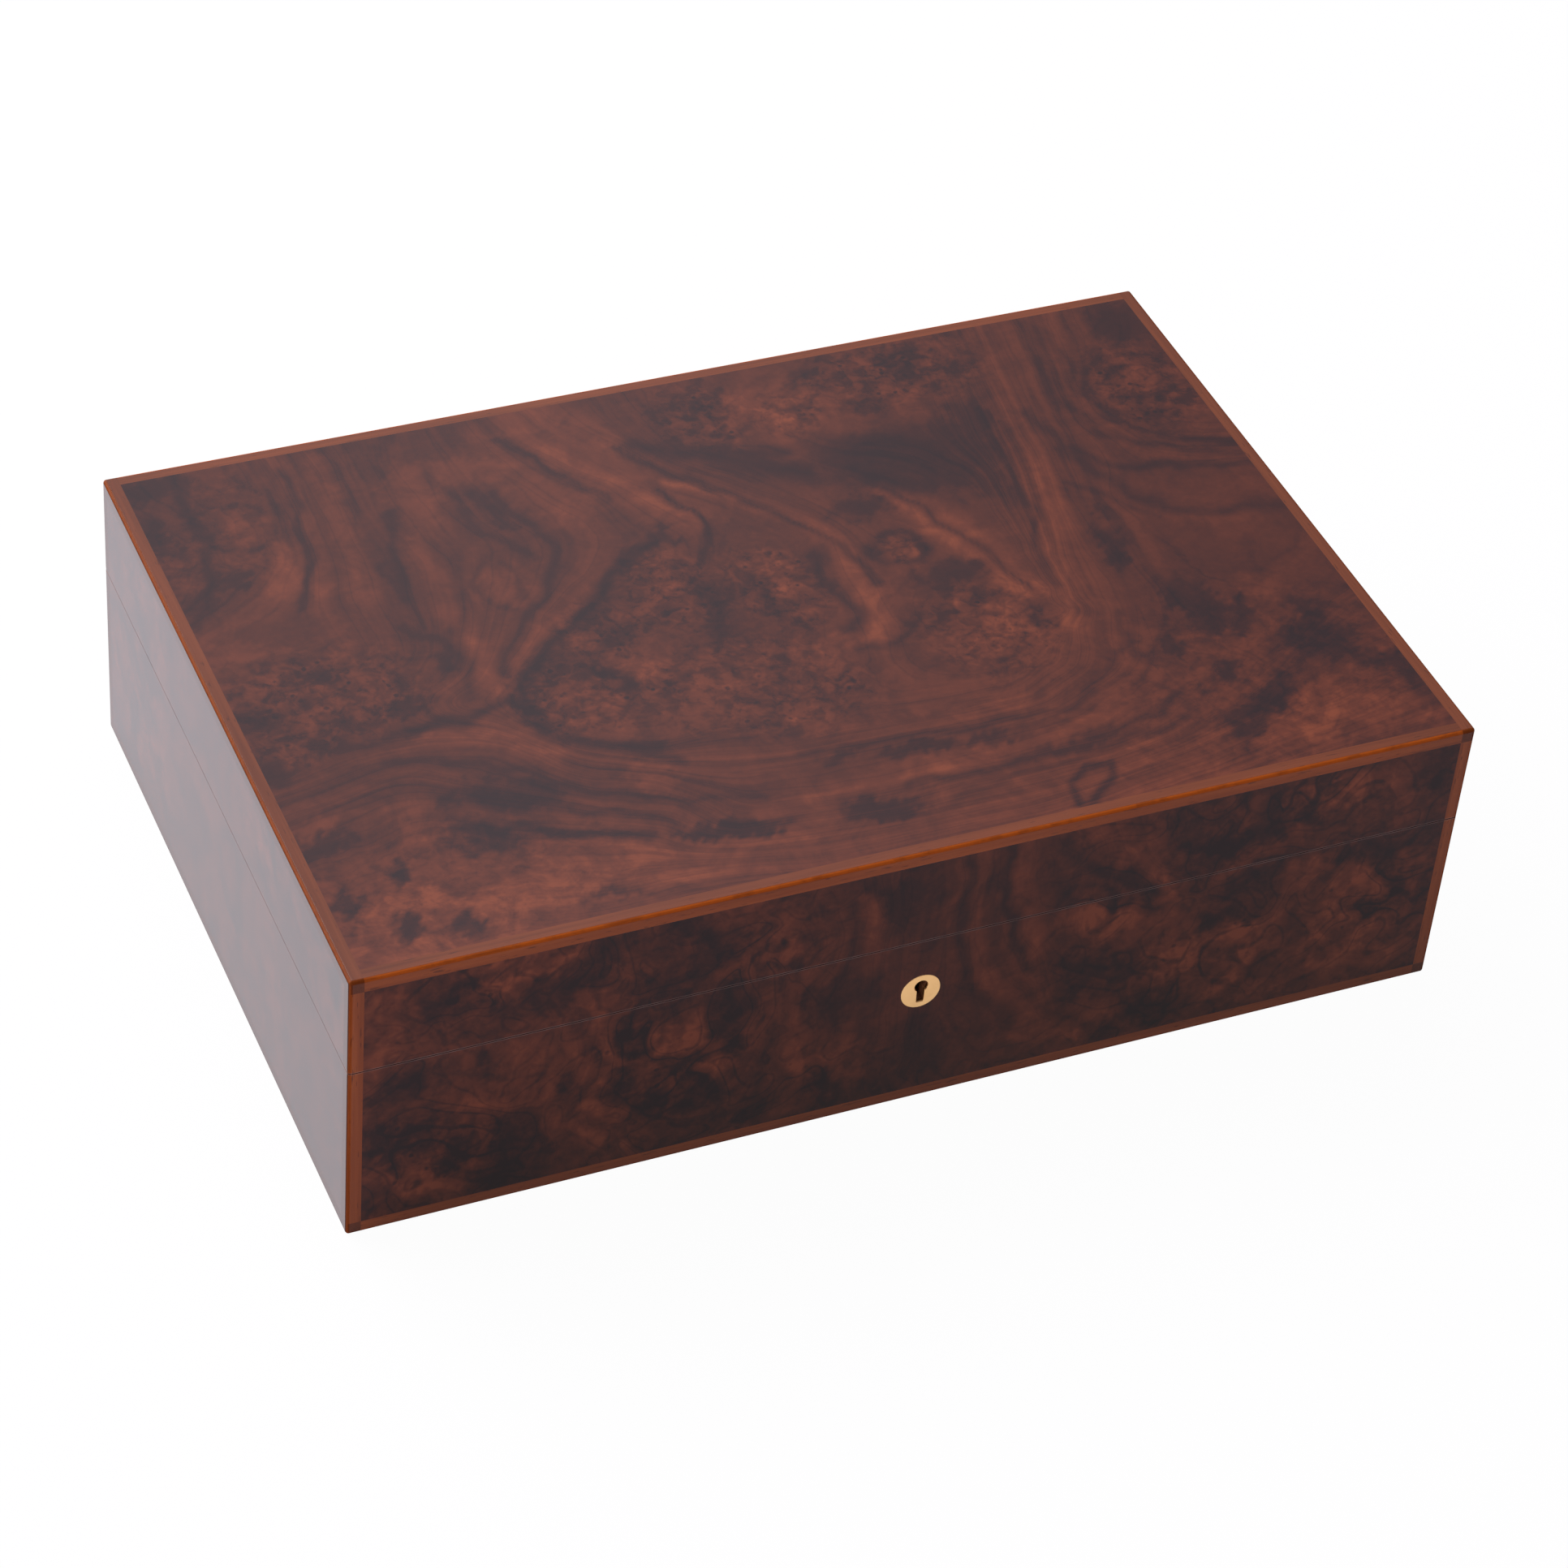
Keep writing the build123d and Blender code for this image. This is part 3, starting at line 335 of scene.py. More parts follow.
def top_figure(x, y):
    """The top: streams that part round an island of burl and meet again in a bowl below it."""
    growth = [
        (0, [(-64, 135), (-60, 112), (-48, 92), (-37, 75), (-33, 60), (-30, 45)]),
        (0, [(-30, 45), (-60, 20), (-90, -6), (-103, -18), (-106, -33), (-90, -50), (-70, -62)]),
        (0, [(-70, -62), (-30, -69), (20, -71), (60, -72), (85, -60), (97, -34), (100, -5)]),
        (0, [(100, -5), (107, 25), (112, 50), (117, 85), (122, 135)]),
        (12, [(-78, 135), (-76, 100), (-68, 72), (-63, 52), (-76, 30), (-93, 10), (-107, -8), (-122, -20)]),
        (26, [(-102, 135), (-100, 90), (-98, 50), (-104, 24), (-115, 2), (-132, -14)]),
        (44, [(-126, 135), (-124, 90), (-125, 50), (-127, 22), (-135, 4), (-150, -7)]),
        (72, [(-150, 135), (-147, 95), (-151, 66), (-166, 46), (-198, 34)]),
        (88, [(-185, 135), (-180, 100), (-185, 75), (-198, 60)]),
        (64, [(-198, 0), (-170, 4), (-145, -5)]),
        (44, [(-198, -30), (-160, -29), (-130, -30), (-112, -42), (-96, -62), (-62, -78)]),
        (26, [(-62, -78), (0, -83), (70, -83), (98, -68), (112, -38), (114, 0), (122, 40), (134, 135)]),
        (62, [(-198, -50), (-150, -42), (-124, -56), (-98, -78), (-60, -93)]),
        (42, [(-60, -93), (0, -97), (80, -96), (118, -80), (134, -45), (132, -5), (136, 40), (147, 135)]),
        (84, [(-198, -72), (-150, -64), (-115, -82), (-70, -104)]),
        (62, [(-70, -104), (0, -110), (80, -108), (130, -95), (165, -72), (198, -56)]),
        (106, [(-198, -98), (-150, -92), (-100, -110), (-40, -124), (40, -126), (110, -116), (198, -92)]),
        (54, [(158, 135), (150, 92), (146, 62), (158, 36), (198, 20)]),
        (50, [(143, 20), (162, 0), (198, -16)]),
        (72, [(178, 100), (166, 78), (176, 55), (198, 48)]),
        (-9, [(-50, 135), (-45, 112), (-30, 88), (-18, 66), (-9, 48), (-14, 18), (-18, -12), (-22, -40)]),
        (-18, [(-35, 135), (-30, 115), (-15, 90), (0, 68), (18, 48), (28, 30), (26, 0), (20, -26)]),
        (-27, [(-18, 135), (-16, 110), (-5, 88), (15, 66), (33, 44), (41, 24), (45, 0), (40, -30)]),
        (-35, [(-4, 135), (-7, 112), (5, 90), (28, 72), (46, 60), (60, 44), (72, 22), (80, -4), (86, -26)]),
        (-40, [(38, 92), (48, 78), (70, 52), (84, 24), (92, -8), (93, -34)]),
        (-30, [(60, 88), (85, 80), (98, 45), (96, 5)]),
    ]
    lines = [
        (-0.95, 2.2, [(-26, 46), (-42, 36), (-60, 21), (-76, 7), (-90, -6), (-101, -17), (-105, -32)]),
        (-0.95, 2.6, [(-105, -32), (-98, -44), (-85, -54), (-70, -62), (-62, -68)]),
        (-0.75, 2.0, [(-66, 60), (-62, 50), (-69, 38), (-82, 22), (-94, 6), (-103, -8)]),
        (-0.95, 2.8, [(-142, -27), (-122, -25), (-107, -21), (-102, -32)]),
        (-0.5, 2.0, [(-176, -27), (-158, -30), (-142, -27)]),
        (-0.55, 1.5, [(-61, 115), (-52, 98), (-43, 85), (-36, 72)]),
        (-1.0, 2.6, [(-178, 132), (-177, 108), (-176, 88), (-180, 70), (-187, 54)]),
        (-0.7, 1.4, [(-156, 122), (-149, 110), (-149, 94)]),
        (-0.8, 1.6, [(-18, 72), (-10, 56), (-9, 46), (-13, 34), (-18, 26)]),
        (-0.75, 2.2, [(-22, 96), (-7, 78), (8, 62), (20, 46), (30, 30), (36, 14), (38, 0)]),
        (-0.85, 5.0, [(-14, 98), (0, 88), (18, 76), (36, 64)]),
        (-0.8, 4.0, [(8, 88), (22, 82), (36, 78)]),
        (-0.55, 1.6, [(109, 80), (110, 52), (105, 22), (99, 0), (97, -20)]),
        (-0.5, 1.1, [(60, 50), (69, 36), (77, 16), (83, -4), (87, -20)]),
        (-0.7, 1.8, [(-139, 122), (-141, 96), (-146, 70), (-156, 44)]),
        (-0.7, 2.2, [(-110, 88), (-115, 70), (-118, 52), (-121, 38)]),
        (-0.6, 1.8, [(-88, 92), (-86, 74), (-81, 60), (-73, 48)]),
        (-0.65, 1.8, [(158, 106), (153, 84), (158, 62), (172, 48), (198, 36)]),
        (-0.55, 1.8, [(146, 104), (143, 80), (150, 56), (166, 42), (198, 29)]),
        (-0.6, 1.6, [(-80, 92), (-77, 78), (-72, 64)]),
        (-0.8, 2.4, [(-74, 88), (-70, 76), (-66, 64)]),
        (-0.45, 1.4, [(-90, 54), (-95, 42), (-92, 28), (-86, 22)]),
        (-0.45, 1.4, [(-84, 50), (-81, 40), (-83, 28)]),
        (-0.75, 1.8, [(54, -129), (56, -118), (64, -112), (75, -114), (72, -120), (60, -128), (54, -129)]),
        (-0.5, 1.6, [(-122, 60), (-122, 40), (-120, 22)]),
        (-0.65, 2.2, [(-128, 24), (-118, 12), (-114, -2), (-118, -14)]),
        (-0.45, 1.8, [(-150, 130), (-147, 105), (-149, 85)]),
        (-0.9, 2.2, [
            (-147, -84), (-142, -90), (-134, -91), (-128, -82), (-121, -82), (-115, -88), (-86, -99),
        ]),
        (-0.55, 1.6, [(-158, -39), (-130, -46), (-112, -58), (-96, -73), (-72, -85), (-42, -92)]),
        (-0.5, 1.5, [(-165, -46), (-140, -50), (-118, -64), (-100, -82), (-76, -94)]),
        (-0.55, 1.7, [(-24, -76), (20, -80), (60, -82), (84, -78)]),
        (-0.5, 1.6, [(5, -103), (40, -104), (80, -99), (112, -86)]),
        (-0.5, 2.0, [(20, -112), (60, -108), (100, -100), (126, -90)]),
        (-0.65, 2.4, [(129, 78), (134, 52), (148, 34), (168, 29), (198, 22)]),
        (-0.6, 3.0, [(133, 52), (143, 24), (156, 6), (198, -4)]),
        (-0.45, 1.6, [(124, 30), (140, 18), (150, 4)]),
        (-0.5, 1.8, [(112, -40), (106, -56), (92, -70), (76, -80)]),
        (-0.5, 1.8, [(124, -48), (114, -66), (98, -80)]),
        (-0.8, 3.0, [(-2, 14), (-4, 0), (2, -14)]),
        (-0.85, 3.2, [(22, 18), (21, 2), (24, -12), (16, -20)]),
        (-0.85, 4.0, [(-20, 14), (-22, 0), (-24, -12)]),
        (-0.8, 1.8, [(-74, -14), (-68, -20), (-62, -26)]),
        (-0.7, 2.0, [(17, -32), (30, -34), (40, -30), (44, -20)]),
        (0.65, 8.0, [(-62, 122), (-52, 104), (-34, 84), (-20, 66), (-11, 52)]),
        (0.6, 8.0, [(-42, 132), (-34, 118), (-22, 98)]),
        (0.9, 2.4, [(-13, 76), (2, 65), (15, 51), (26, 38), (34, 26)]),
        (0.65, 5.5, [(28, 34), (36, 18), (35, 0), (32, -18), (24, -29)]),
        (0.95, 4.2, [(56, 50), (63, 36), (70, 18), (76, 0), (82, -20)]),
        (0.75, 3.4, [(64, 50), (74, 36), (82, 16), (88, -4), (91, -20)]),
        (0.5, 7.0, [(119, 58), (115, 36), (107, 10), (100, -15), (94, -42)]),
        (0.5, 4.4, [(-104, 95), (-106, 50), (-108, 20), (-107, -2), (-108, -16)]),
        (0.45, 6.0, [(-125, 122), (-126, 95), (-128, 70), (-134, 46)]),
        (1.0, 4.2, [(-137, -31), (-122, -33), (-111, -41), (-104, -51)]),
        (0.5, 3.6, [(-14, -67), (20, -70), (60, -73)]),
        (0.45, 3.0, [(0, -92), (40, -93), (80, -88), (108, -74)]),
        (0.5, 3.0, [(-60, 30), (-80, 10), (-96, -10)]),
        (0.5, 3.4, [(40, 76), (36, 88), (44, 100)]),
        (0.25, 4.0, [(128, 130), (124, 100), (121, 76)]),
        (0.45, 2.6, [(-198, -62), (-170, -58), (-150, -60)]),
        (0.45, 3.2, [(-48, -100), (-10, -96), (20, -98)]),
    ]
    spots = [
        (-1.0, (80, 64), (30, 21), -12), (-0.9, (48, 40), (11, 7), 0), (-0.95, (62, -4), (14, 8), 10),
        (-0.85, (-24, 46), (8, 4.5), -25), (-1.05, (-122, -67), (15, 8), -25),
        (-0.8, (-143, -62), (4, 6), 0), (-0.85, (-138, -84), (10, 5), -20),
        (-0.95, (-62, -105), (21, 4.2), -8), (-0.9, (-8, -110), (15, 5), -10),
        (-0.9, (14, -85), (12, 4), 0), (-0.8, (-12, -82), (8, 3), 0), (-0.85, (-188, -71), (8, 5), 10),
        (-0.85, (-189, -102), (6, 5), 0), (-0.8, (-170, -92), (2.5, 8), 0),
        (-0.85, (-174, -118), (4, 6), 0), (-0.8, (-156, -121), (4.5, 6), 0),
        (-0.8, (125, -8), (4, 13), 0), (-0.7, (128, 14), (3, 6), 0), (-0.95, (139, -44), (7, 14), 12),
        (-0.85, (152, -50), (4, 6), 0), (-0.95, (171, -76), (14, 12), -30),
        (-0.9, (176, -62), (4, 9), 15), (-0.85, (187, -92), (11, 6), -30),
        (-1.05, (138, -100), (17, 7), 30),
        (-0.85, (120, -62), (4, 6), 20), (-0.8, (134, -80), (8, 3), 25), (-0.8, (126, -112), (8, 4), 35),
        (-0.85, (194, -100), (5, 8), 0), (-1.0, (-184, 124), (15, 6), -5), (-0.9, (142, -54), (9, 7), 0),
        (-0.7, (-192, 96), (5, 10), 0), (-0.8, (-178, 66), (12, 4), 20),
        (-0.7, (-190, 56), (9, 7), 0), (-0.8, (-138, -14), (10, 4), 10), (-0.75, (-190, -6), (9, 6), 0),
        (-0.7, (-118, 4), (4, 8), 0), (-0.7, (-75, 76), (4, 10), 12), (-0.6, (8, 112), (9, 8), 0),
        (-0.75, (60, 122), (9, 6), 0), (-0.7, (76, 96), (7, 6), 0), (-0.6, (96, 116), (10, 9), 0),
        (-0.85, (188, 116), (12, 12), 0), (-0.6, (172, 60), (6, 6), 0), (-0.6, (100, 50), (8, 24), 0),
        (-0.6, (84, -34), (4, 7), 0), (-0.6, (40, -88), (12, 3), 0), (-0.6, (-196, -34), (10, 6), 0),
        (-0.7, (-72, -58), (8, 5), -20), (-0.6, (-106, -122), (10, 3), 0), (-0.6, (66, -100), (20, 4), 4),
        (-0.8, (107, 76), (8, 12), 0), (0.35, (172, -107), (20, 10), -30), (0.6, (-186, -62), (12, 4), 8),
        (0.45, (-156, -72), (9, 7), 0), (0.45, (-87, 38), (5, 6), 0),
        (0.55, (-54, 79), (17, 13), -30), (0.55, (-155, 58), (9, 18), 10), (0.5, (-84, 36), (10, 12), 0),
        (0.6, (-75, -72), (6, 8), 0), (0.6, (-12, -60), (9, 6), 0), (0.4, (-112, -112), (48, 14), 0),
        (0.5, (-165, -128), (20, 8), 0), (0.5, (-170, -104), (12, 8), 30), (0.35, (44, 104), (15, 13), 0),
        (0.5, (-100, 96), (8, 16), 0), (0.55, (-80, 103), (21, 9), -8), (0.4, (156, -44), (12, 10), 0),
        (0.55, (150, -110), (10, 14), 30), (0.5, (180, -120), (14, 8), 0), (0.5, (-60, -20), (12, 9), 0),
        (0.3, (2, 14), (8, 12), 0), (0.35, (-32, 16), (8, 14), 0), (0.4, (-80, -30), (11, 12), 0),
        (0.5, (4, -30), (10, 9), 0), (0.25, (170, 0), (20, 7), -10), (0.25, (-40, -112), (16, 6), 0),
        (0.4, (-186, 30), (10, 5), 12), (0.4, (60, -84), (10, 3), 0), (0.45, (64, -34), (13, 13), 0),
        (0.5, (52, 15), (6, 6), 0), (0.3, (-165, 95), (8, 16), 0),
    ]
    rings = [
        (-0.7, (52, 15), 9.5, 2.0),
        (-0.5, (-165, 94), 13.0, 1.6),
        (-0.45, (-82, -26), 17.0, 1.4),
        (-0.45, (18, 104), 10.0, 1.5),
        (-0.45, (104, 112), 11.0, 1.6),
        (-0.45, (176, 78), 12.0, 1.6),
        (-0.5, (176, 78), 20.0, 1.8),
    ]
    clusters = [
        ((-83, -26), (22, 22)), ((-62, 4), (18, 16)), ((-32, 16), (16, 24)), ((2, 6), (16, 26)),
        ((-14, -48), (30, 18)), ((52, 15), (9, 9)), ((64, -36), (24, 24)), ((46, 100), (14, 12)),
        ((-165, 0), (32, 24)), ((14, 108), (16, 20)), ((90, 112), (34, 20)), ((178, 78), (20, 26)),
        ((-30, -34), (40, 22)), ((-180, -20), (16, 12)),
    ]
    mottled = [
        ((-158, -104), (62, 30)), ((150, -88), (60, 42)), ((-166, 95), (16, 28)), ((-190, 84), (10, 20)),
    ]
    # Painted light: broad pools that lighten the top along its front edge
    painted_light_pools = [
        (0.38, (-70, -124), (210, 36)),
        (0.25, (90, -100), (70, 60)),
        (0.25, (-168, -108), (40, 26)),
    ]
    calm = bent_by(calm_waves, x, y, phase=1.0)
    ragged = bent_by(ragged_waves, x, y, phase=1.0)
    painted_light = sum(strength * near_spot(x, y, centre, radii) for strength, centre, radii in painted_light_pools)
    return {
        "flow": flow_field(growth, x, y),
        "shade": paint(calm, ragged, lines, spots, rings, darkness=0.88, painted_light=painted_light),
        "burl": burl_mask(ragged, ((1.0, clusters), (0.5, mottled))),
    }


def front_figure(x, z):
    """The front: dark mottled burl, with upright streams about the lock that bend away below."""
    growth = [
        (0, [(0, 113), (-2, 80), (-2, 40), (2, 6)]),
        (10, [(14, 113), (11, 80), (14, 55), (28, 34), (50, 6)]),
        (22, [(28, 113), (26, 80), (32, 58), (50, 36), (90, 8)]),
        (36, [(46, 113), (48, 88), (62, 62), (88, 40), (130, 14)]),
        (56, [(66, 113), (84, 86), (110, 66), (150, 50), (196, 40)]),
        (80, [(110, 113), (130, 92), (160, 84), (196, 78)]),
        (-14, [(-20, 113), (-18, 84), (-20, 50), (-20, 6)]),
        (-30, [(-40, 113), (-34, 86), (-38, 50), (-44, 6)]),
        (-50, [(-72, 113), (-56, 88), (-60, 55), (-76, 6)]),
        (-74, [(-112, 113), (-92, 84), (-94, 52), (-116, 30), (-120, 6)]),
        (-100, [(-160, 113), (-140, 80), (-136, 50), (-150, 20), (-154, 6)]),
        (-124, [(-198, 90), (-176, 60), (-186, 20)]),
    ]
    lines = [
        (0.8, 3.4, [(19, 108), (16, 90), (17, 70), (22, 54), (32, 40), (46, 26), (62, 14)]),
        (0.6, 2.6, [(8, 112), (9, 95), (8, 78)]),
        (0.65, 4.0, [(-22, 100), (-20, 84), (-16, 70)]),
        (0.75, 4.2, [(32, 110), (34, 88), (38, 70), (44, 54)]),
        (0.55, 2.6, [(26, 86), (28, 66), (36, 48), (48, 34)]),
        (0.7, 3.4, [(58, 106), (72, 92), (86, 78), (92, 70)]),
        (0.6, 3.0, [(-78, 110), (-62, 92), (-54, 78), (-48, 66)]),
        (0.5, 2.4, [(-64, 108), (-50, 90), (-44, 74)]),
        (0.6, 2.6, [(-160, 96), (-146, 92), (-132, 98), (-122, 106)]),
        (0.55, 2.4, [(-110, 100), (-98, 88), (-88, 92), (-80, 104)]),
        (0.5, 2.4, [(-132, 50), (-128, 34), (-118, 22), (-100, 14)]),
        (0.5, 2.4, [(-96, 44), (-88, 34), (-76, 28), (-70, 40)]),
        (0.55, 2.6, [(118, 40), (126, 30), (122, 20), (108, 14)]),
        (0.5, 2.2, [(134, 70), (144, 58), (158, 52), (170, 58)]),
        (0.5, 2.4, [(150, 34), (164, 28), (178, 18), (194, 14)]),
        (-0.9, 2.4, [(46, 104), (58, 90), (72, 80), (84, 70)]),
        (-0.85, 2.4, [(12, 112), (12, 84), (13, 62), (22, 42), (36, 26)]),
        (-0.85, 2.2, [(26, 112), (29, 84), (32, 66), (40, 48)]),
        (-0.8, 2.4, [(-24, 112), (-14, 96), (-10, 80)]),
        (-0.8, 2.0, [(-150, 86), (-140, 82), (-130, 88), (-122, 98)]),
        (-0.7, 2.0, [(-120, 70), (-114, 50), (-122, 34), (-112, 22)]),
        (-0.7, 2.0, [(100, 64), (112, 60), (122, 66), (132, 60)]),
        (-0.7, 2.0, [(138, 92), (150, 84), (164, 82), (176, 74)]),
    ]
    spots = [
        (0.75, (-187, 98), (8, 12), 20), (0.6, (-184, 76), (9, 6), 0), (0.55, (-148, 103), (22, 7), 0),
        (0.5, (-110, 84), (13, 10), 30), (0.55, (-58, 98), (12, 11), -30), (0.7, (-118, 43), (4.5, 14), 8),
        (0.55, (-160, 45), (13, 9), 0), (0.55, (-172, 22), (18, 9), 0), (0.45, (-104, 14), (10, 5), 0),
        (0.5, (-78, 50), (6, 13), 10), (0.45, (-70, 36), (8, 6), 0), (0.5, (-35, 30), (12, 7), 0),
        (0.5, (-24, 22), (8, 6), 0), (0.7, (58, 68), (9, 6), 0), (0.55, (76, 62), (8, 6), 20),
        (0.7, (97, 37), (15, 7), 15), (0.85, (118, 45), (6.5, 6.5), 0), (0.7, (146, 99), (15, 9), 0),
        (0.6, (174, 88), (9, 7), -20), (0.65, (146, 64), (4.5, 9), 0), (0.5, (186, 60), (8, 8), 0),
        (0.5, (160, 20), (12, 6), 20), (0.5, (186, 32), (10, 8), 0), (0.45, (130, 12), (12, 4), 0),
        (0.5, (112, 96), (5, 5), 0), (0.45, (-196, 56), (6, 10), 0), (0.5, (40, 18), (9, 5), -30),
        (0.45, (68, 22), (10, 6), 0), (0.45, (-140, 62), (8, 8), 0), (0.45, (82, 92), (8, 6), -40),
        (-0.9, (-134, 90), (15, 7), 10), (-0.9, (-141, 16), (13, 12), 0), (-0.85, (-60, 20), (11, 13), 0),
        (-0.9, (0, 24), (13, 18), 0), (-0.9, (-6, 95), (8, 15), 0), (-0.8, (-32, 56), (13, 9), 0),
        (-0.85, (112, 84), (18, 6), 5), (-0.8, (168, 68), (12, 5), 0), (-0.8, (-92, 70), (12, 7), 0),
        (-0.7, (-190, 42), (8, 6), 0), (-0.8, (92, 14), (12, 6), 0), (-0.7, (140, 40), (8, 9), 0),
        (-0.7, (60, 44), (12, 6), -40), (-0.7, (-170, 66), (10, 5), 0), (-0.7, (-94, 26), (7, 7), 0),
        (-0.7, (190, 104), (8, 7), 0), (-0.7, (78, 104), (9, 6), -30),
    ]
    rings = [
        (-0.8, (-102, 58), 7.0, 1.8),
        (0.45, (-102, 58), 10.5, 1.6),
        (-0.6, (-48, 82), 7.0, 1.6),
        (-0.6, (116, 44), 9.5, 1.6),
        (-0.6, (58, 70), 12.0, 1.6),
        (-0.5, (-172, 30), 14.0, 1.6),
    ]
    clusters = [
        ((-170, 32), (28, 20)), ((-82, 42), (26, 22)), ((60, 68), (20, 12)), ((110, 36), (34, 18)),
        ((150, 98), (30, 14)), ((-30, 28), (24, 14)), ((170, 40), (26, 24)), ((-60, 84), (16, 14)),
        ((-150, 102), (30, 10)), ((-102, 58), (16, 14)),
    ]
    # Painted light and shade: the front turns lighter below this height and darker above it, by so much per
    # millimetre
    painted_shading_level = 62.0
    painted_shading_per_millimetre = 0.0032
    calm = bent_by(calm_waves, x, z, phase=3.0)
    ragged = bent_by(ragged_waves, x, z, phase=3.0)
    streams = near_spot(x, z, (10, 70), (46, 60))
    burl = burl_mask(ragged, ((0.8, clusters),), least=0.45)
    shade = paint(calm, ragged, lines, spots, rings, darkness=0.72)
    return {
        "flow": flow_field(growth, x, z),
        "shade": shade + painted_shading_per_millimetre * (painted_shading_level - z),
        "burl": burl * (1.0 - 0.7 * streams),
    }


# Sheets
def mesh_piece(name, points, faces):
    """A mesh object from lists of points and faces."""
    mesh = bpy.data.meshes.new(name)
    mesh.from_pydata(points, [], faces)
    mesh.validate()
    piece = bpy.data.objects.new(name, mesh)
    bpy.context.scene.collection.objects.link(piece)
    return piece


def thicken(piece, thickness):
    """Thickens a flat piece, away from the side that it faces."""
    modifier = piece.modifiers.new("thickness", "SOLIDIFY")
    modifier.thickness = thickness
    modifier.offset = -1.0


def flat_grid(low, high, plane, spacing):
    """A grid along two axes of a box: both coordinates of its points, and their numbers in rows."""
    counts = [int(round((high[axis] - low[axis]) / spacing)) + 1 for axis in plane]
    lines = [np.linspace(low[axis], high[axis], count) for axis, count in zip(plane, counts)]
    across, up = np.meshgrid(*lines, indexing="ij")
    return across.ravel(), up.ravel(), np.arange(across.size).reshape(across.shape)


def grid_cells(number):
    """The four corners of each cell of a grid."""
    corners = [number[:-1, :-1], number[1:, :-1], number[1:, 1:], number[:-1, 1:]]
    return np.stack(corners, axis=-1)


def cut_hole(across, up, number, centre, radius):
    """A grid with a round hole: cells near the circle give way to a ring from their square to it.

    Gives both coordinates with the circle's points added, and the faces.
    """
    margin = radius + sheet_step
    left, right = np.searchsorted(across[number[:, 0]], (centre[0] - margin, centre[0] + margin))
    below, above = np.searchsorted(up[number[0]], (centre[1] - margin, centre[1] + margin))
    cells = grid_cells(number)
    keep = np.ones(cells.shape[:2], bool)
    keep[left:right, below:above] = False
    square = np.concatenate([
        number[left:right, below],
        number[right, below:above],
        number[right:left:-1, above],
        number[left, above:below:-1],
    ])
    circle = number.size + np.arange(len(square))
    ring = np.stack([square, np.roll(square, -1), np.roll(circle, -1), circle], axis=-1)
    reach = np.hypot(across[square] - centre[0], up[square] - centre[1])
    circle_across = centre[0] + (across[square] - centre[0]) * radius / reach
    circle_up = centre[1] + (up[square] - centre[1]) * radius / reach
    across = np.concatenate([across, circle_across])
    up = np.concatenate([up, circle_up])
    return across, up, np.concatenate([cells[keep], ring])


def veneer_sheet(node, body, plane, figure, burl, hole=None):
    """A veneer sheet: a flat grid over its node's outer face, thickened inwards.

    The plane names the two axes that the grid runs along. A hole is a circle's centre and radius.
    """
    low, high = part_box(node)
    first, second = plane
    flat_axis = 3 - first - second
    across, up, number = flat_grid(low, high, plane, sheet_step)
    faces = grid_cells(number).reshape(-1, 4)
    if hole:
        across, up, faces = cut_hole(across, up, number, *hole)
    used, packed = np.unique(faces, return_inverse=True)
    points = np.empty((len(used), 3))
    points[:, first] = across[used]
    points[:, second] = up[used]
    points[:, flat_axis] = high[flat_axis] if flat_axis == 2 else low[flat_axis]
    piece = mesh_piece(node + "_sheet", points.tolist(), packed.reshape(faces.shape).tolist())
    values = figure(across[used] / millimetre, up[used] / millimetre)
    for key, array in values.items():
        attribute = piece.data.attributes.new(key, "FLOAT", "POINT")
        attribute.data.foreach_set("value", array.astype(np.float32))
    thicken(piece, high[flat_axis] - low[flat_axis])
    piece.data.materials.append(burl)
    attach(piece, body)
    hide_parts(node)


# Finishes
def from_seam(finish, place):
    """Height above or below the seam."""
    height = finish.parts(place)[2]
    return finish.math("ABSOLUTE", finish.math("SUBTRACT", height, seam_height))


def bare_rim(finish, place):
    """1 on the sawn faces that meet at the seam: bare wood, which shows when the lid is open."""
    near = finish.ramp(from_seam(finish, place), 1.0 * millimetre, 0.8 * millimetre)
    level = finish.ramp(finish.math("ABSOLUTE", finish.facing()[2]), 0.5, 0.8)
    return finish.math("MULTIPLY", near, level)


def seam_line(finish, place):
    """Up to 1 in a hair's width at the seam: a painted highlight of the edges there, broken in chips where
    the lacquer breaks over the sawn edges.
    """
    chips = finish.ramp(finish.noise(place, 70.0, 3.0), 0.35, 0.65, 0.7, 1.0)
    line = finish.ramp(from_seam(finish, place), 0.6 * millimetre, 0.3 * millimetre)
    outside = finish.math("SUBTRACT", 1.0, bare_rim(finish, place))
    return finish.math("MULTIPLY", finish.math("MULTIPLY", line, chips), outside)


def painted_figure(finish):
    """Flow, shade and burl as they are painted on a veneer sheet."""
    return [finish.painted(key) for key in ("flow", "shade", "burl")]


def grown_figure(finish):
    """Flow, shade and burl from noise alone, for faces whose figure the photograph doesn't show."""
    place = finish.place()
    x, y, z = finish.parts(place)
    drift = finish.noise(place, 9.0, 2.0, 0.5, 0.6)
    along = finish.math("ADD", finish.math("MULTIPLY", x, 500.0), finish.math("MULTIPLY", y, 700.0))
    flow = finish.math("MULTIPLY_ADD", drift, 260.0, along)
    shade = finish.ramp(finish.noise(place, 34.0, 3.0, 0.6, 1.6), 0.36, 0.64, -0.8, 0.6)
    burl = finish.ramp(finish.noise(place, 16.0, 1.0), 0.42, 0.6, 0.2, 1.0)
    return flow, shade, burl


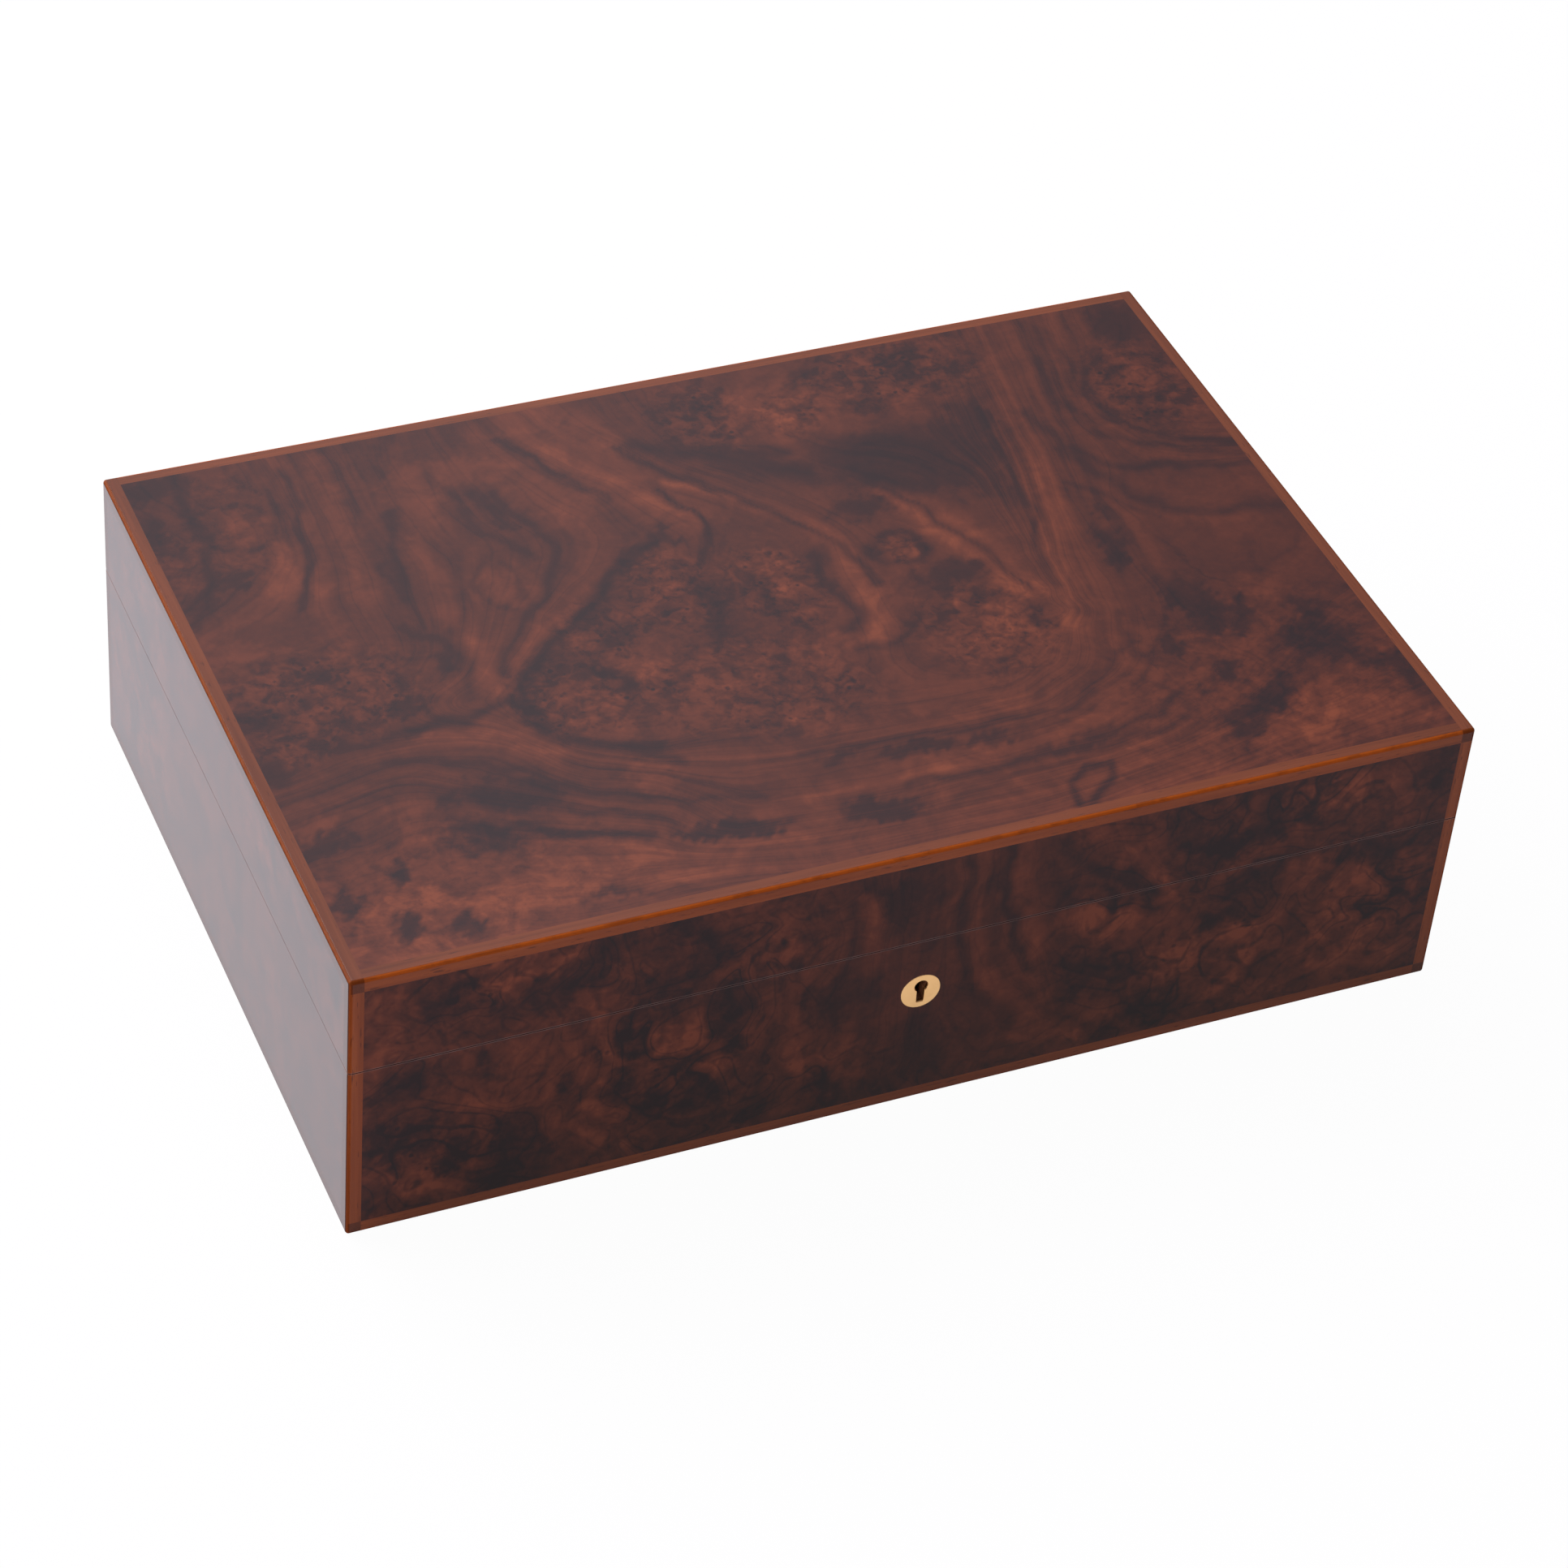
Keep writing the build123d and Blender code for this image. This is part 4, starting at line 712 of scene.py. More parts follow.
def swirled_flow(finish, place, flow, burl, swirl):
    """The flow shifted by a slow and a quick noise, more so in the clusters, where it swirls."""
    slow = finish.math("SUBTRACT", finish.noise(place, 28.0, 1.0), 0.5)
    quick = finish.math("SUBTRACT", finish.noise(place, 120.0, 3.0), 0.5)
    bent = finish.math("MULTIPLY_ADD", quick, finish.math("MULTIPLY_ADD", burl, 9.0, 1.0), flow)
    return finish.math("MULTIPLY_ADD", slow, finish.math("MULTIPLY_ADD", burl, swirl, 6.0), bent)


def stream_patterns(finish, place, bent):
    """Bands, fibres and thin dark rings, each a noise drawn out along the flow."""
    sx, sy, sz = finish.parts(finish.stretched(place, (22.0, 22.0, 22.0)))
    upwards = finish.math("ADD", sy, sz)

    def along_flow(fineness, change, detail, roughness=0.55):
        drawn_out = finish.joined(
            finish.math("MULTIPLY", bent, fineness),
            finish.math("MULTIPLY", sx, change),
            finish.math("MULTIPLY", upwards, change),
        )
        return finish.math("SUBTRACT", finish.noise(drawn_out, 1.0, detail, roughness), 0.5)

    bands = along_flow(0.13, 0.25, 2.0)
    fibres = along_flow(0.8, 1.0, 3.0, 0.6)
    rings = finish.ramp(finish.math("ABSOLUTE", along_flow(0.24, 0.5, 1.0)), 0.05, 0.0)
    return bands, fibres, rings


def folded_patches(finish, place):
    """Light and dark folds in two sizes, and thin lines about the large ones.

    The lines are nested outlines of the noise that makes the large folds.
    """
    large = finish.noise(place, 34.0, 1.5, 0.5, 0.9)
    small = finish.ramp(finish.noise(place, 85.0, 1.0, 0.5, 0.8), 0.44, 0.56, -1.0, 1.0)
    folds = finish.math("MULTIPLY_ADD", small, 0.6, finish.ramp(large, 0.42, 0.58, -1.0, 1.0))
    level = finish.math("FRACT", finish.math("MULTIPLY", large, 8.0))
    gap = finish.math("ABSOLUTE", finish.math("SUBTRACT", level, 0.5))
    return folds, finish.ramp(gap, 0.17, 0.03)


def small_eyes(finish, place, burl):
    """Halos and pupils of small eyes, scattered over the clusters."""
    eyes = finish.cells(finish.warped(place, 160.0, 2.0, 2 * millimetre), 165.0)
    lottery = finish.parts(eyes["Color"])[0]
    chosen = finish.math("MULTIPLY", finish.ramp(lottery, 0.45, 0.55), finish.ramp(burl, 0.5, 0.85))
    halo = finish.math("MULTIPLY", finish.ramp(eyes["Distance"], 0.44, 0.24), chosen)
    pupil = finish.math("MULTIPLY", finish.ramp(eyes["Distance"], 0.20, 0.08), chosen)
    return halo, pupil


def burl_finish(name, figure, wildness, contrast, gloss, index=1.5):
    """Gloss burl: bands, rings and fibres along the flow, folds, blotches and eyes in the clusters."""
    middle_tone = 0.48
    strokes, breaking, swirl, marbling, folding, outlining = wildness
    finish = Finish(name)
    place = finish.place()
    flow, shade, burl = figure(finish)
    bent = swirled_flow(finish, place, flow, burl, swirl)
    bands, fibres, rings = stream_patterns(finish, place, bent)
    folds, outlines = folded_patches(finish, place)
    halo, pupil = small_eyes(finish, place, burl)
    marble = finish.noise(place, 46.0, 4.0, 0.6, 1.6)
    blotches = finish.noise(place, 190.0, 2.0, 0.5, 0.7)
    flecks = finish.noise(place, 340.0, 2.0)
    specks = finish.noise(place, 420.0, 3.0, 0.6)
    uneven = finish.math("MULTIPLY_ADD", marble, breaking, 1.0 - 0.5 * breaking)
    broken = finish.math("MULTIPLY", shade, uneven)
    tone = finish.math("MULTIPLY_ADD", broken, strokes, middle_tone)
    # Each pattern with its strength outside the clusters and inside them
    for pattern, outside, inside in (
        (bands, 0.72, 0.22),
        (fibres, 0.15, 0.06),
        (rings, -0.08, -0.03),
        (finish.ramp(marble, 0.36, 0.64, -1.0, 1.0), 0.04, 0.04 + marbling),
        (folds, 0.0, folding),
        (outlines, 0.0, -outlining),
        (finish.ramp(blotches, 0.34, 0.66, -1.0, 1.0), 0.02, 0.14),
        (finish.ramp(flecks, 0.56, 0.70), 0.0, -0.16),
        (finish.math("SUBTRACT", specks, 0.5), 0.14, 0.14),
        (halo, 0.09, 0.09),
        (pupil, -0.36, -0.36),
    ):
        strength = finish.math("MULTIPLY_ADD", burl, inside - outside, outside)
        tone = finish.math("MULTIPLY_ADD", pattern, strength, tone)
    tone = finish.math("MULTIPLY_ADD", tone, contrast, 0.5 - 0.5 * contrast)
    colour = finish.colours(tone, [
        (0.08, (0.018, 0.0052, 0.0070)),
        (0.30, (0.040, 0.0085, 0.0074)),
        (0.50, (0.078, 0.0155, 0.0082)),
        (0.72, (0.130, 0.0265, 0.0115)),
        (0.95, (0.215, 0.0470, 0.0175)),
    ])
    # Painted shade: the back and the two ends take a darker copy of the burl
    if figure is grown_figure:
        colour = finish.dimmed(colour, 0.7)
    # Painted highlight along the seam, partly chips of bare edge, in a pale colour
    seam = finish.math("MULTIPLY", seam_line(finish, place), 0.75)
    colour = finish.mix(seam, colour, (0.20, 0.125, 0.105))
    return finish.surface(lacquer(finish, colour, place, gloss, index))


def lacquer(finish, colour, place, gloss, index=1.5):
    """Polished clear lacquer over wood: a diffuse ground under one clear coat with a faint ripple.

    The sawn faces at the seam have no coat.
    """
    coated = finish.math("SUBTRACT", 1.0, bare_rim(finish, place))
    ripple = finish.noise(place, 55.0, 1.0)
    return {
        "Base Color": colour,
        "Roughness": 0.55,
        "Specular IOR Level": 0.0,
        "Coat Weight": finish.math("MULTIPLY", coated, gloss),
        "Coat Roughness": 0.06,
        "Coat IOR": index,
        "Coat Normal": finish.bump(ripple, 0.00004, 0.25),
    }


def banding_wood(finish, place, along, upward, direction):
    """Straight-grained wood: bands, long fibres and pores, and dark end grain, with painted shade: darker
    on top and dark on the faces towards the two ends.
    """
    fibres = finish.grain(place, along, 900.0, 22.0, 4.0, 0.6)
    bands = finish.grain(place, along, 150.0, 6.0, 3.0, 0.5, 0.3)
    pores = finish.ramp(finish.grain(place, along, 1500.0, 160.0, 1.0), 0.66, 0.74)
    tone = finish.math("MULTIPLY_ADD", bands, 0.6, finish.math("MULTIPLY", fibres, 0.5))
    # Painted light and shade: the same wood is lighter on the front and back faces than on top
    lit_side_colour = finish.colours(tone, [
        (0.25, (0.165, 0.034, 0.0085)),
        (0.55, (0.280, 0.062, 0.0130)),
        (0.85, (0.400, 0.098, 0.0210)),
    ])
    shaded_top_colour = finish.colours(tone, [
        (0.25, (0.115, 0.026, 0.0090)),
        (0.55, (0.185, 0.043, 0.0130)),
        (0.85, (0.265, 0.064, 0.0190)),
    ])
    colour = finish.mix(upward, lit_side_colour, shaded_top_colour)
    colour = finish.mix(finish.math("MULTIPLY", pores, 0.55), colour, (0.05, 0.012, 0.007))
    end_colour = finish.mix(finish.noise(place, 1700.0, 2.0), (0.09, 0.020, 0.006), (0.18, 0.040, 0.011))
    colour = finish.mix(finish.ramp(direction[along], 0.75, 0.92), colour, end_colour)
    # Painted shade: the faces towards the two ends turn dark
    return finish.mix(finish.ramp(direction[0], 0.75, 0.92), colour, (0.055, 0.014, 0.006))


def banding_finish(name, along):
    """Gloss edging, a little darker towards both ends, with a painted orange glow on the arrises."""
    end_share = 0.82
    finish = Finish(name)
    place = finish.place()
    facing = finish.facing()
    upward = finish.ramp(facing[2], 0.3, 0.8)
    direction = [finish.math("ABSOLUTE", part) for part in facing]
    colour = banding_wood(finish, place, along, upward, direction)
    # Painted highlight along the seam, partly chips of bare edge, in a pale colour
    seam = finish.math("MULTIPLY", seam_line(finish, place), 0.6)
    colour = finish.mix(seam, colour, (0.34, 0.20, 0.15))
    across = finish.parts(place)[0]
    colour = finish.dimmed(colour, finish.ramp(across, 0.16, 0.19, 1.0, end_share))
    colour = finish.dimmed(colour, finish.ramp(across, -0.19, -0.16, end_share, 1.0), upward)
    flattest = finish.math("MAXIMUM", finish.math("MAXIMUM", direction[0], direction[1]), direction[2])
    turned = finish.ramp(flattest, 0.985, 0.90)
    top_arris, end_edge = top_edge(finish, place)
    # Painted light: the arrises take an orange glow, broken up in patches, bright along the front and back,
    # darker towards the ends
    uneven_glow = finish.ramp(finish.noise(place, 130.0, 3.0, 0.6), 0.36, 0.56, 0.55, 1.0)
    arris = finish.math("MAXIMUM", finish.math("MULTIPLY", turned, 0.6), top_arris)
    arris = finish.math("MULTIPLY", uneven_glow, arris)
    to_end = finish.math("MAXIMUM", finish.ramp(direction[0], 0.15, 0.45), end_edge)
    end_glow = (0.21, 0.046, 0.008)
    front_glow = (0.52, 0.108, 0.014) if along == 0 else end_glow
    colour = finish.mix(arris, colour, finish.mix(to_end, front_glow, end_glow))
    matt = finish.math("MAXIMUM", finish.ramp(flattest, 0.9998, 0.99), top_arris)
    gloss = finish.ramp(direction[1], 0.3, 0.8, 1.0, long_face_gloss)
    gloss = finish.math("MULTIPLY", gloss, finish.math("MULTIPLY_ADD", matt, -0.88, 1.0))
    return finish.surface(lacquer(finish, colour, place, gloss))


def top_edge(finish, place):
    """1 along the lid's upper edges, which get a painted orange glow and a thinner coat.

    The second value is 1 near the two ends of the box.
    """
    outer_reach = 1.2 * millimetre
    full_reach = 0.65 * millimetre
    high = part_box("lid_top_end_banding")[1]
    x, y, z = finish.parts(place)
    to_end = finish.math("SUBTRACT", high.x, finish.math("ABSOLUTE", x))
    to_front = finish.math("SUBTRACT", high.y, finish.math("ABSOLUTE", y))
    to_side = finish.math("MINIMUM", to_end, to_front)
    reach = finish.math("MAXIMUM", to_side, finish.math("SUBTRACT", high.z, z))
    return [finish.ramp(gap, outer_reach, full_reach) for gap in (reach, to_end)]


def sawn_wood_finish(name, along, dark, middle, light, roughness, pore_strength):
    """Bare planed wood: growth lines, fibres and short open pores along the board."""
    finish = Finish(name)
    place = finish.warped(finish.place(), 5.0, 1.0, 20 * millimetre)
    growth = finish.grain(place, along, 75.0, 2.2, 3.0, 0.6)
    fibres = finish.grain(place, along, 900.0, 14.0, 4.0, 0.6)
    pores = finish.ramp(finish.grain(place, along, 1300.0, 90.0, 1.0), 0.64, 0.72)
    tone = finish.math("MULTIPLY_ADD", growth, 0.7, finish.math("MULTIPLY", fibres, 0.35))
    colour = finish.colours(tone, [(0.3, dark), (0.52, middle), (0.75, light)])
    pore_colour = tuple(0.45 * part for part in dark)
    colour = finish.mix(finish.math("MULTIPLY", pores, pore_strength), colour, pore_colour)
    relief = finish.math("MULTIPLY_ADD", pores, -0.8, fibres)
    return finish.surface({
        "Base Color": colour,
        "Roughness": finish.ramp(growth, 0.3, 0.7, roughness - 0.06, roughness + 0.08),
        "Specular IOR Level": 0.35,
        "Normal": finish.bump(relief, 0.0001, 0.5),
    })


def metal_finish(name, colour, roughness, tarnish, scratch_along=0):
    """Polished or satin metal: hair scratches, slight handling marks and a warm tarnish in places."""
    finish = Finish(name)
    place = finish.place()
    scratches = finish.grain(place, scratch_along, 2600.0, 60.0, 2.0)
    patches = finish.noise(place, 140.0, 4.0, 0.6)
    shade = tuple(0.72 * part for part in colour)
    return finish.surface({
        "Base Color": finish.mix(finish.ramp(patches, 0.45, 0.75, 0.0, tarnish), colour, shade),
        "Metallic": 1.0,
        "Roughness": finish.ramp(patches, 0.35, 0.7, roughness, roughness + 0.08),
        "Normal": finish.bump(scratches, 0.00001, 0.5),
    })


def plastic_finish(name, colour, roughness):
    """Moulded plastic with a fine spark texture."""
    finish = Finish(name)
    place = finish.place()
    spark = finish.noise(place, 1600.0, 3.0, 0.7)
    dust = finish.noise(place, 90.0, 4.0)
    dusty = tuple(part + 0.03 for part in colour)
    return finish.surface({
        "Base Color": finish.mix(finish.ramp(dust, 0.45, 0.8, 0.0, 0.35), colour, dusty),
        "Roughness": finish.ramp(dust, 0.3, 0.7, roughness, roughness + 0.1),
        "Normal": finish.bump(spark, 0.00006, 0.6),
    })


def foam_finish():
    """Open-celled green foam: small dark cells with soft walls."""
    finish = Finish("humidifier_foam")
    place = finish.place()
    cells = finish.cells(place, 1300.0)["Distance"]
    grain = finish.noise(place, 300.0, 3.0)
    colour = finish.mix(finish.ramp(cells, 0.2, 0.7), (0.015, 0.05, 0.025), (0.07, 0.20, 0.10))
    colour = finish.mix(finish.ramp(grain, 0.4, 0.7, 0.0, 0.4), colour, (0.04, 0.11, 0.06))
    relief = finish.bump(cells, 0.0003, 0.8)
    return finish.surface({"Base Color": colour, "Roughness": 0.9, "Normal": relief})


def felt_finish():
    """Dense green wool felt: matted fibres, a soft nap and a sheen at low angles."""
    finish = Finish("green_felt")
    place = finish.place()
    mat = finish.noise(place, 900.0, 5.0, 0.7, 2.0)
    nap = finish.noise(place, 60.0, 3.0)
    colour = finish.mix(mat, (0.006, 0.028, 0.016), (0.030, 0.085, 0.050))
    colour = finish.mix(finish.ramp(nap, 0.4, 0.7, 0.0, 0.3), colour, (0.035, 0.10, 0.06))
    return finish.surface({
        "Base Color": colour,
        "Roughness": 0.95,
        "Specular IOR Level": 0.15,
        "Sheen Weight": 0.4,
        "Sheen Roughness": 0.5,
        "Normal": finish.bump(mat, 0.0003, 0.7),
    })


def card_finish():
    """Matt printed card with a faint fibre and a warm ageing in patches."""
    finish = Finish("dial_card")
    place = finish.place()
    fibre = finish.noise(place, 1400.0, 3.0)
    ageing = finish.noise(place, 60.0, 3.0)
    colour = finish.mix(finish.ramp(ageing, 0.35, 0.75), (0.86, 0.84, 0.77), (0.80, 0.76, 0.66))
    relief = finish.bump(fibre, 0.00003, 0.4)
    return finish.surface({"Base Color": colour, "Roughness": 0.7, "Normal": relief})


def ink_finish():
    """Black printing ink, slightly uneven."""
    finish = Finish("dial_ink")
    blotch = finish.noise(finish.place(), 1800.0, 2.0)
    colour = finish.mix(blotch, (0.012, 0.012, 0.014), (0.035, 0.034, 0.036))
    return finish.surface({"Base Color": colour, "Roughness": 0.5})


def glass_finish():
    """Clear flat glass with a trace of handling on it."""
    finish = Finish("clear_glass")
    smear = finish.noise(finish.place(), 70.0, 3.0)
    return finish.surface({
        "Base Color": (0.97, 0.985, 0.98, 1.0),
        "Roughness": finish.ramp(smear, 0.5, 0.8, 0.0, 0.05),
        "Transmission Weight": 1.0,
        "IOR": 1.45,
    })


def finish_nodes(material, *names):
    """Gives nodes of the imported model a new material, in their own material slots."""
    for name in names:
        for place in nodes[name].material_slots:
            place.material = material


def dress_veneer():
    """Painted sheets on the top and the front, noise alone on the back and the two ends."""
    top_burl = burl_finish("burl_veneer_top", painted_figure, calm_burl, 0.98, 1.0)
    front_burl = burl_finish("burl_veneer_front", painted_figure, wild_burl, 0.95, long_face_gloss)
    back_burl = burl_finish("burl_veneer_back", grown_figure, wild_burl, 0.95, long_face_gloss)
    end_burl = burl_finish("burl_veneer_ends", grown_figure, wild_burl, 0.45, 1.0, end_gloss_index)
    centre, radius = escutcheon_circle()
    hole = ((centre.x, centre.z), radius)
    veneer_sheet("lid_top_veneer", "lid", (0, 1), top_figure, top_burl)
    veneer_sheet("lid_front_veneer", "lid", (0, 2), front_figure, front_burl)
    veneer_sheet("base_front_veneer", "base", (0, 2), front_figure, front_burl, hole)
    finish_nodes(back_burl, "base_back_veneer", "lid_back_veneer")
    finish_nodes(end_burl, "base_end_veneers", "lid_end_veneers")


def dress_banding():
    """The edge strips, in the order of the axes that they run along."""
    for along, (name, *strips) in enumerate((
        ("banding_along_front", "base_bottom_long_banding", "lid_top_long_banding"),
        ("banding_along_depth", "base_bottom_end_banding", "lid_top_end_banding"),
        ("banding_upright", "base_corner_banding", "lid_corner_banding"),
    )):
        finish_nodes(banding_finish(name, along), *strips)


def dress_sawn_wood():
    """Core and cedar, each with its grain along the front and along the depth."""
    core = ((0.20, 0.085, 0.040), (0.30, 0.14, 0.070), (0.40, 0.20, 0.105))
    finish_nodes(
        sawn_wood_finish("core_along_front", 0, *core, 0.5, 0.6),
        "base_front_wall", "base_back_wall", "lid_front_wall", "lid_back_wall",
        "base_bottom_panel", "lid_top_panel",
    )
    finish_nodes(
        sawn_wood_finish("core_along_depth", 1, *core, 0.5, 0.6),
        "base_left_wall", "base_right_wall", "lid_left_wall", "lid_right_wall",
    )
    cedar = ((0.36, 0.155, 0.075), (0.50, 0.235, 0.120), (0.62, 0.33, 0.185))
    finish_nodes(
        sawn_wood_finish("cedar_along_front", 0, *cedar, 0.62, 0.5),
        "base_front_liner", "base_back_liner", "base_floor_liner", "lid_long_liners",
        "lid_ceiling_liner", "tray_front_wall", "tray_back_wall", "tray_floor",
    )
    finish_nodes(
        sawn_wood_finish("cedar_along_depth", 1, *cedar, 0.62, 0.5),
        "base_left_liner", "base_right_liner", "lid_end_liners", "tray_ledges", "lower_divider",
        "tray_left_wall", "tray_right_wall", "tray_divider",
    )


def dress_fittings():
    """Hinges, lock, screws, hygrometer and humidifier."""
    brass = metal_finish("polished_brass", (0.86, 0.60, 0.28), 0.22, 0.5)
    finish_nodes(brass, "hinge_base_leaves", "hinge_lid_leaves", "hinge_pins")
    finish_nodes(brass, "strike_plate", "lock_case", "lock_cover")
    screws = metal_finish("brass_screws", (0.80, 0.55, 0.26), 0.28, 0.6, 1)
    finish_nodes(screws, "base_screws", "lid_screws")
    steel = metal_finish("spring_steel", (0.50, 0.50, 0.51), 0.30, 0.5)
    finish_nodes(steel, "lock_key_pin", "lock_spring", "hygrometer_coil")
    finish_nodes(metal_finish("bolt_steel", (0.56, 0.56, 0.57), 0.25, 0.4), "lock_bolt")
    finish_nodes(metal_finish("gilt_case", (0.90, 0.66, 0.33), 0.16, 0.4), "hygrometer_case")
    finish_nodes(card_finish(), "hygrometer_dial")
    finish_nodes(glass_finish(), "hygrometer_glass")
    finish_nodes(plastic_finish("needle_enamel", (0.012, 0.012, 0.013), 0.3), "hygrometer_needle")
    finish_nodes(plastic_finish("black_plastic", (0.022, 0.022, 0.024), 0.42), "humidifier_case")
    finish_nodes(plastic_finish("shutter_plastic", (0.045, 0.045, 0.048), 0.5), "humidifier_shutter")
    finish_nodes(foam_finish(), "humidifier_foam")


def escutcheon_circle():
    """Middle and radius of the keyhole plate."""
    low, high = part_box("keyhole_escutcheon")
    return (low + high) / 2, (high.x - low.x) / 2


def keyhole_reach(right, up):
    """How far the keyhole reaches from the plate's middle, in directions given by their two parts.

    It is the farther of a circle, whose middle is above the plate's, and a slot.
    """
    top_radius = 2.4 * millimetre
    slot_half_width = 1.35 * millimetre
    slot_reach = 4.65 * millimetre
    top_height = slot_reach - top_radius
    least_part = 1e-6
    circle = top_height * up + np.sqrt(top_radius**2 - (top_height * right) ** 2)
    side = slot_half_width / np.maximum(np.abs(right), least_part)
    end = np.where(up < 0, slot_reach, top_height) / np.maximum(np.abs(up), least_part)
    return np.maximum(circle, np.minimum(side, end))


def escutcheon_plate():
    """The round keyhole plate: a shallow dome with a rounded rim and an eased keyhole.

    Rings of points run from the keyhole's outline to the outer circle, over the rim and round the
    back. The face falls back by the square of its distance from the middle.
    """
    spokes = 144
    face_rings = 14
    dome_height = 0.22 * millimetre
    easing = 0.25 * millimetre
    keyhole_edge = 0.35 * millimetre
    low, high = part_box("keyhole_escutcheon")
    centre, radius = escutcheon_circle()
    angles = np.linspace(0.0, 2 * math.pi, spokes, endpoint=False)
    right, up = np.cos(angles), np.sin(angles)
    outline = keyhole_reach(right, up)
    rings = [(outline, high.y), (outline, low.y + keyhole_edge)]
    for share in np.linspace(0.0, 1.0, face_rings):
        reach = outline + easing + share * (radius - 2 * easing - outline)
        rings.append((reach, low.y + dome_height * (reach / radius) ** 2))
    for turn in (30.0, 60.0, 90.0):
        angle = math.radians(turn)
        reach = radius - easing + easing * math.sin(angle)
        rings.append((reach, low.y + dome_height + easing * (1.0 - math.cos(angle))))
    rings.append((radius, high.y))
    points = []
    for reach, depth in rings:
        depths = np.broadcast_to(depth, right.shape)
        points.append(np.column_stack([centre.x + reach * right, depths, centre.z + reach * up]))
    number = np.arange(len(rings) * spokes).reshape(len(rings), spokes)
    beyond = np.roll(number, -1, axis=0)
    faces = np.stack([number, np.roll(number, -1, axis=1), np.roll(beyond, -1, axis=1), beyond], axis=-1)
    plate = mesh_piece(
        "keyhole_plate", np.concatenate(points).tolist(), faces.reshape(-1, 4).tolist()
    )
    repair = bmesh.new()
    repair.from_mesh(plate.data)
    bmesh.ops.recalc_face_normals(repair, faces=repair.faces)
    repair.to_mesh(plate.data)
    repair.free()
    plate.data.shade_smooth()
    plate.data.materials.append(metal_finish("satin_brass", (1.0, 0.63, 0.28), 0.38, 0.15))
    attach(plate, "base")
    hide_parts("keyhole_escutcheon")


def felt_sheet():
    """The felt under the box: a flat grid at the bottom, thickened upwards to the panel."""
    low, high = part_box("base_felt")
    x, y, number = flat_grid(low, high, (0, 1), felt_step)
    points = np.column_stack([x, y, np.full(x.size, low.z)])
    # The corners of each cell run the other way round, so that the grid faces down
    faces = grid_cells(number)[..., [0, 3, 2, 1]].reshape(-1, 4)
    felt = mesh_piece("felt_sheet", points.tolist(), faces.tolist())
    thicken(felt, high.z - low.z)
    felt.data.materials.append(felt_finish())
    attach(felt, "base")
    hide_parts("base_felt")


def number_outline(body, size):
    """A printed number as flat corners about its own middle, and the polygons between them."""
    curve = bpy.data.curves.new("number", "FONT")
    curve.body = body
    curve.size = size
    curve.align_x = "CENTER"
    curve.align_y = "CENTER"
    holder = bpy.data.objects.new("number", curve)
    bpy.context.scene.collection.objects.link(holder)
    bpy.context.view_layer.update()
    letters = bpy.data.meshes.new_from_object(holder)
    corners = [(corner.co.x, corner.co.y) for corner in letters.vertices]
    polygons = [tuple(polygon.vertices) for polygon in letters.polygons]
    bpy.data.objects.remove(holder)
    bpy.data.meshes.remove(letters)
    return corners, polygons


def dial_print():
    """Scale and numbers on the hygrometer's card, flat marks that face down.

    The scale runs over 270 degrees, clockwise from the lower left, with the box's front upwards.
    """
    low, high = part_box("hygrometer_dial")
    centre = (low + high) / 2
    print_height = low.z - 0.05 * millimetre
    scale_start = -135.0
    scale_sweep = 270.0
    scale_radius = 23.0 * millimetre
    arc_outer_radius = 23.35 * millimetre
    arc_steps = 60
    long_tick = (20.3 * millimetre, 0.45 * millimetre)
    short_tick = (21.6 * millimetre, 0.22 * millimetre)
    number_radius = 17.2 * millimetre
    number_size = 4.2 * millimetre
    points = []
    faces = []

    def outwards(share, radius):
        """The place at a share of the scale and a distance from the dial's middle."""
        angle = math.radians(scale_start + scale_sweep * share)
        return math.sin(angle) * radius, math.cos(angle) * radius

    def add_shape(outline, polygons):
        start = len(points)
        points.extend((centre.x + across, centre.y - up, print_height) for across, up in outline)
        faces.extend([start + corner for corner in polygon] for polygon in polygons)

    for reading in range(0, 101, 2):
        inner_radius, width = long_tick if reading % 10 == 0 else short_tick
        out = Vector(outwards(reading / 100, 1.0))
        side = Vector((out.y, -out.x)) * width / 2
        inner = out * inner_radius
        outer = out * scale_radius
        add_shape([inner - side, inner + side, outer + side, outer - side], [(0, 1, 2, 3)])
    for step in range(arc_steps):
        start, end = step / arc_steps, (step + 1) / arc_steps
        outline = [
            outwards(start, scale_radius),
            outwards(start, arc_outer_radius),
            outwards(end, arc_outer_radius),
            outwards(end, scale_radius),
        ]
        add_shape(outline, [(3, 2, 1, 0)])
    for reading in range(0, 101, 10):
        corners, polygons = number_outline(str(reading), number_size)
        shift = outwards(reading / 100, number_radius)
        add_shape([(across + shift[0], up + shift[1]) for across, up in corners], polygons)
    piece = mesh_piece("dial_print", points, faces)
    piece.data.materials.append(ink_finish())
    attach(piece, "lid")


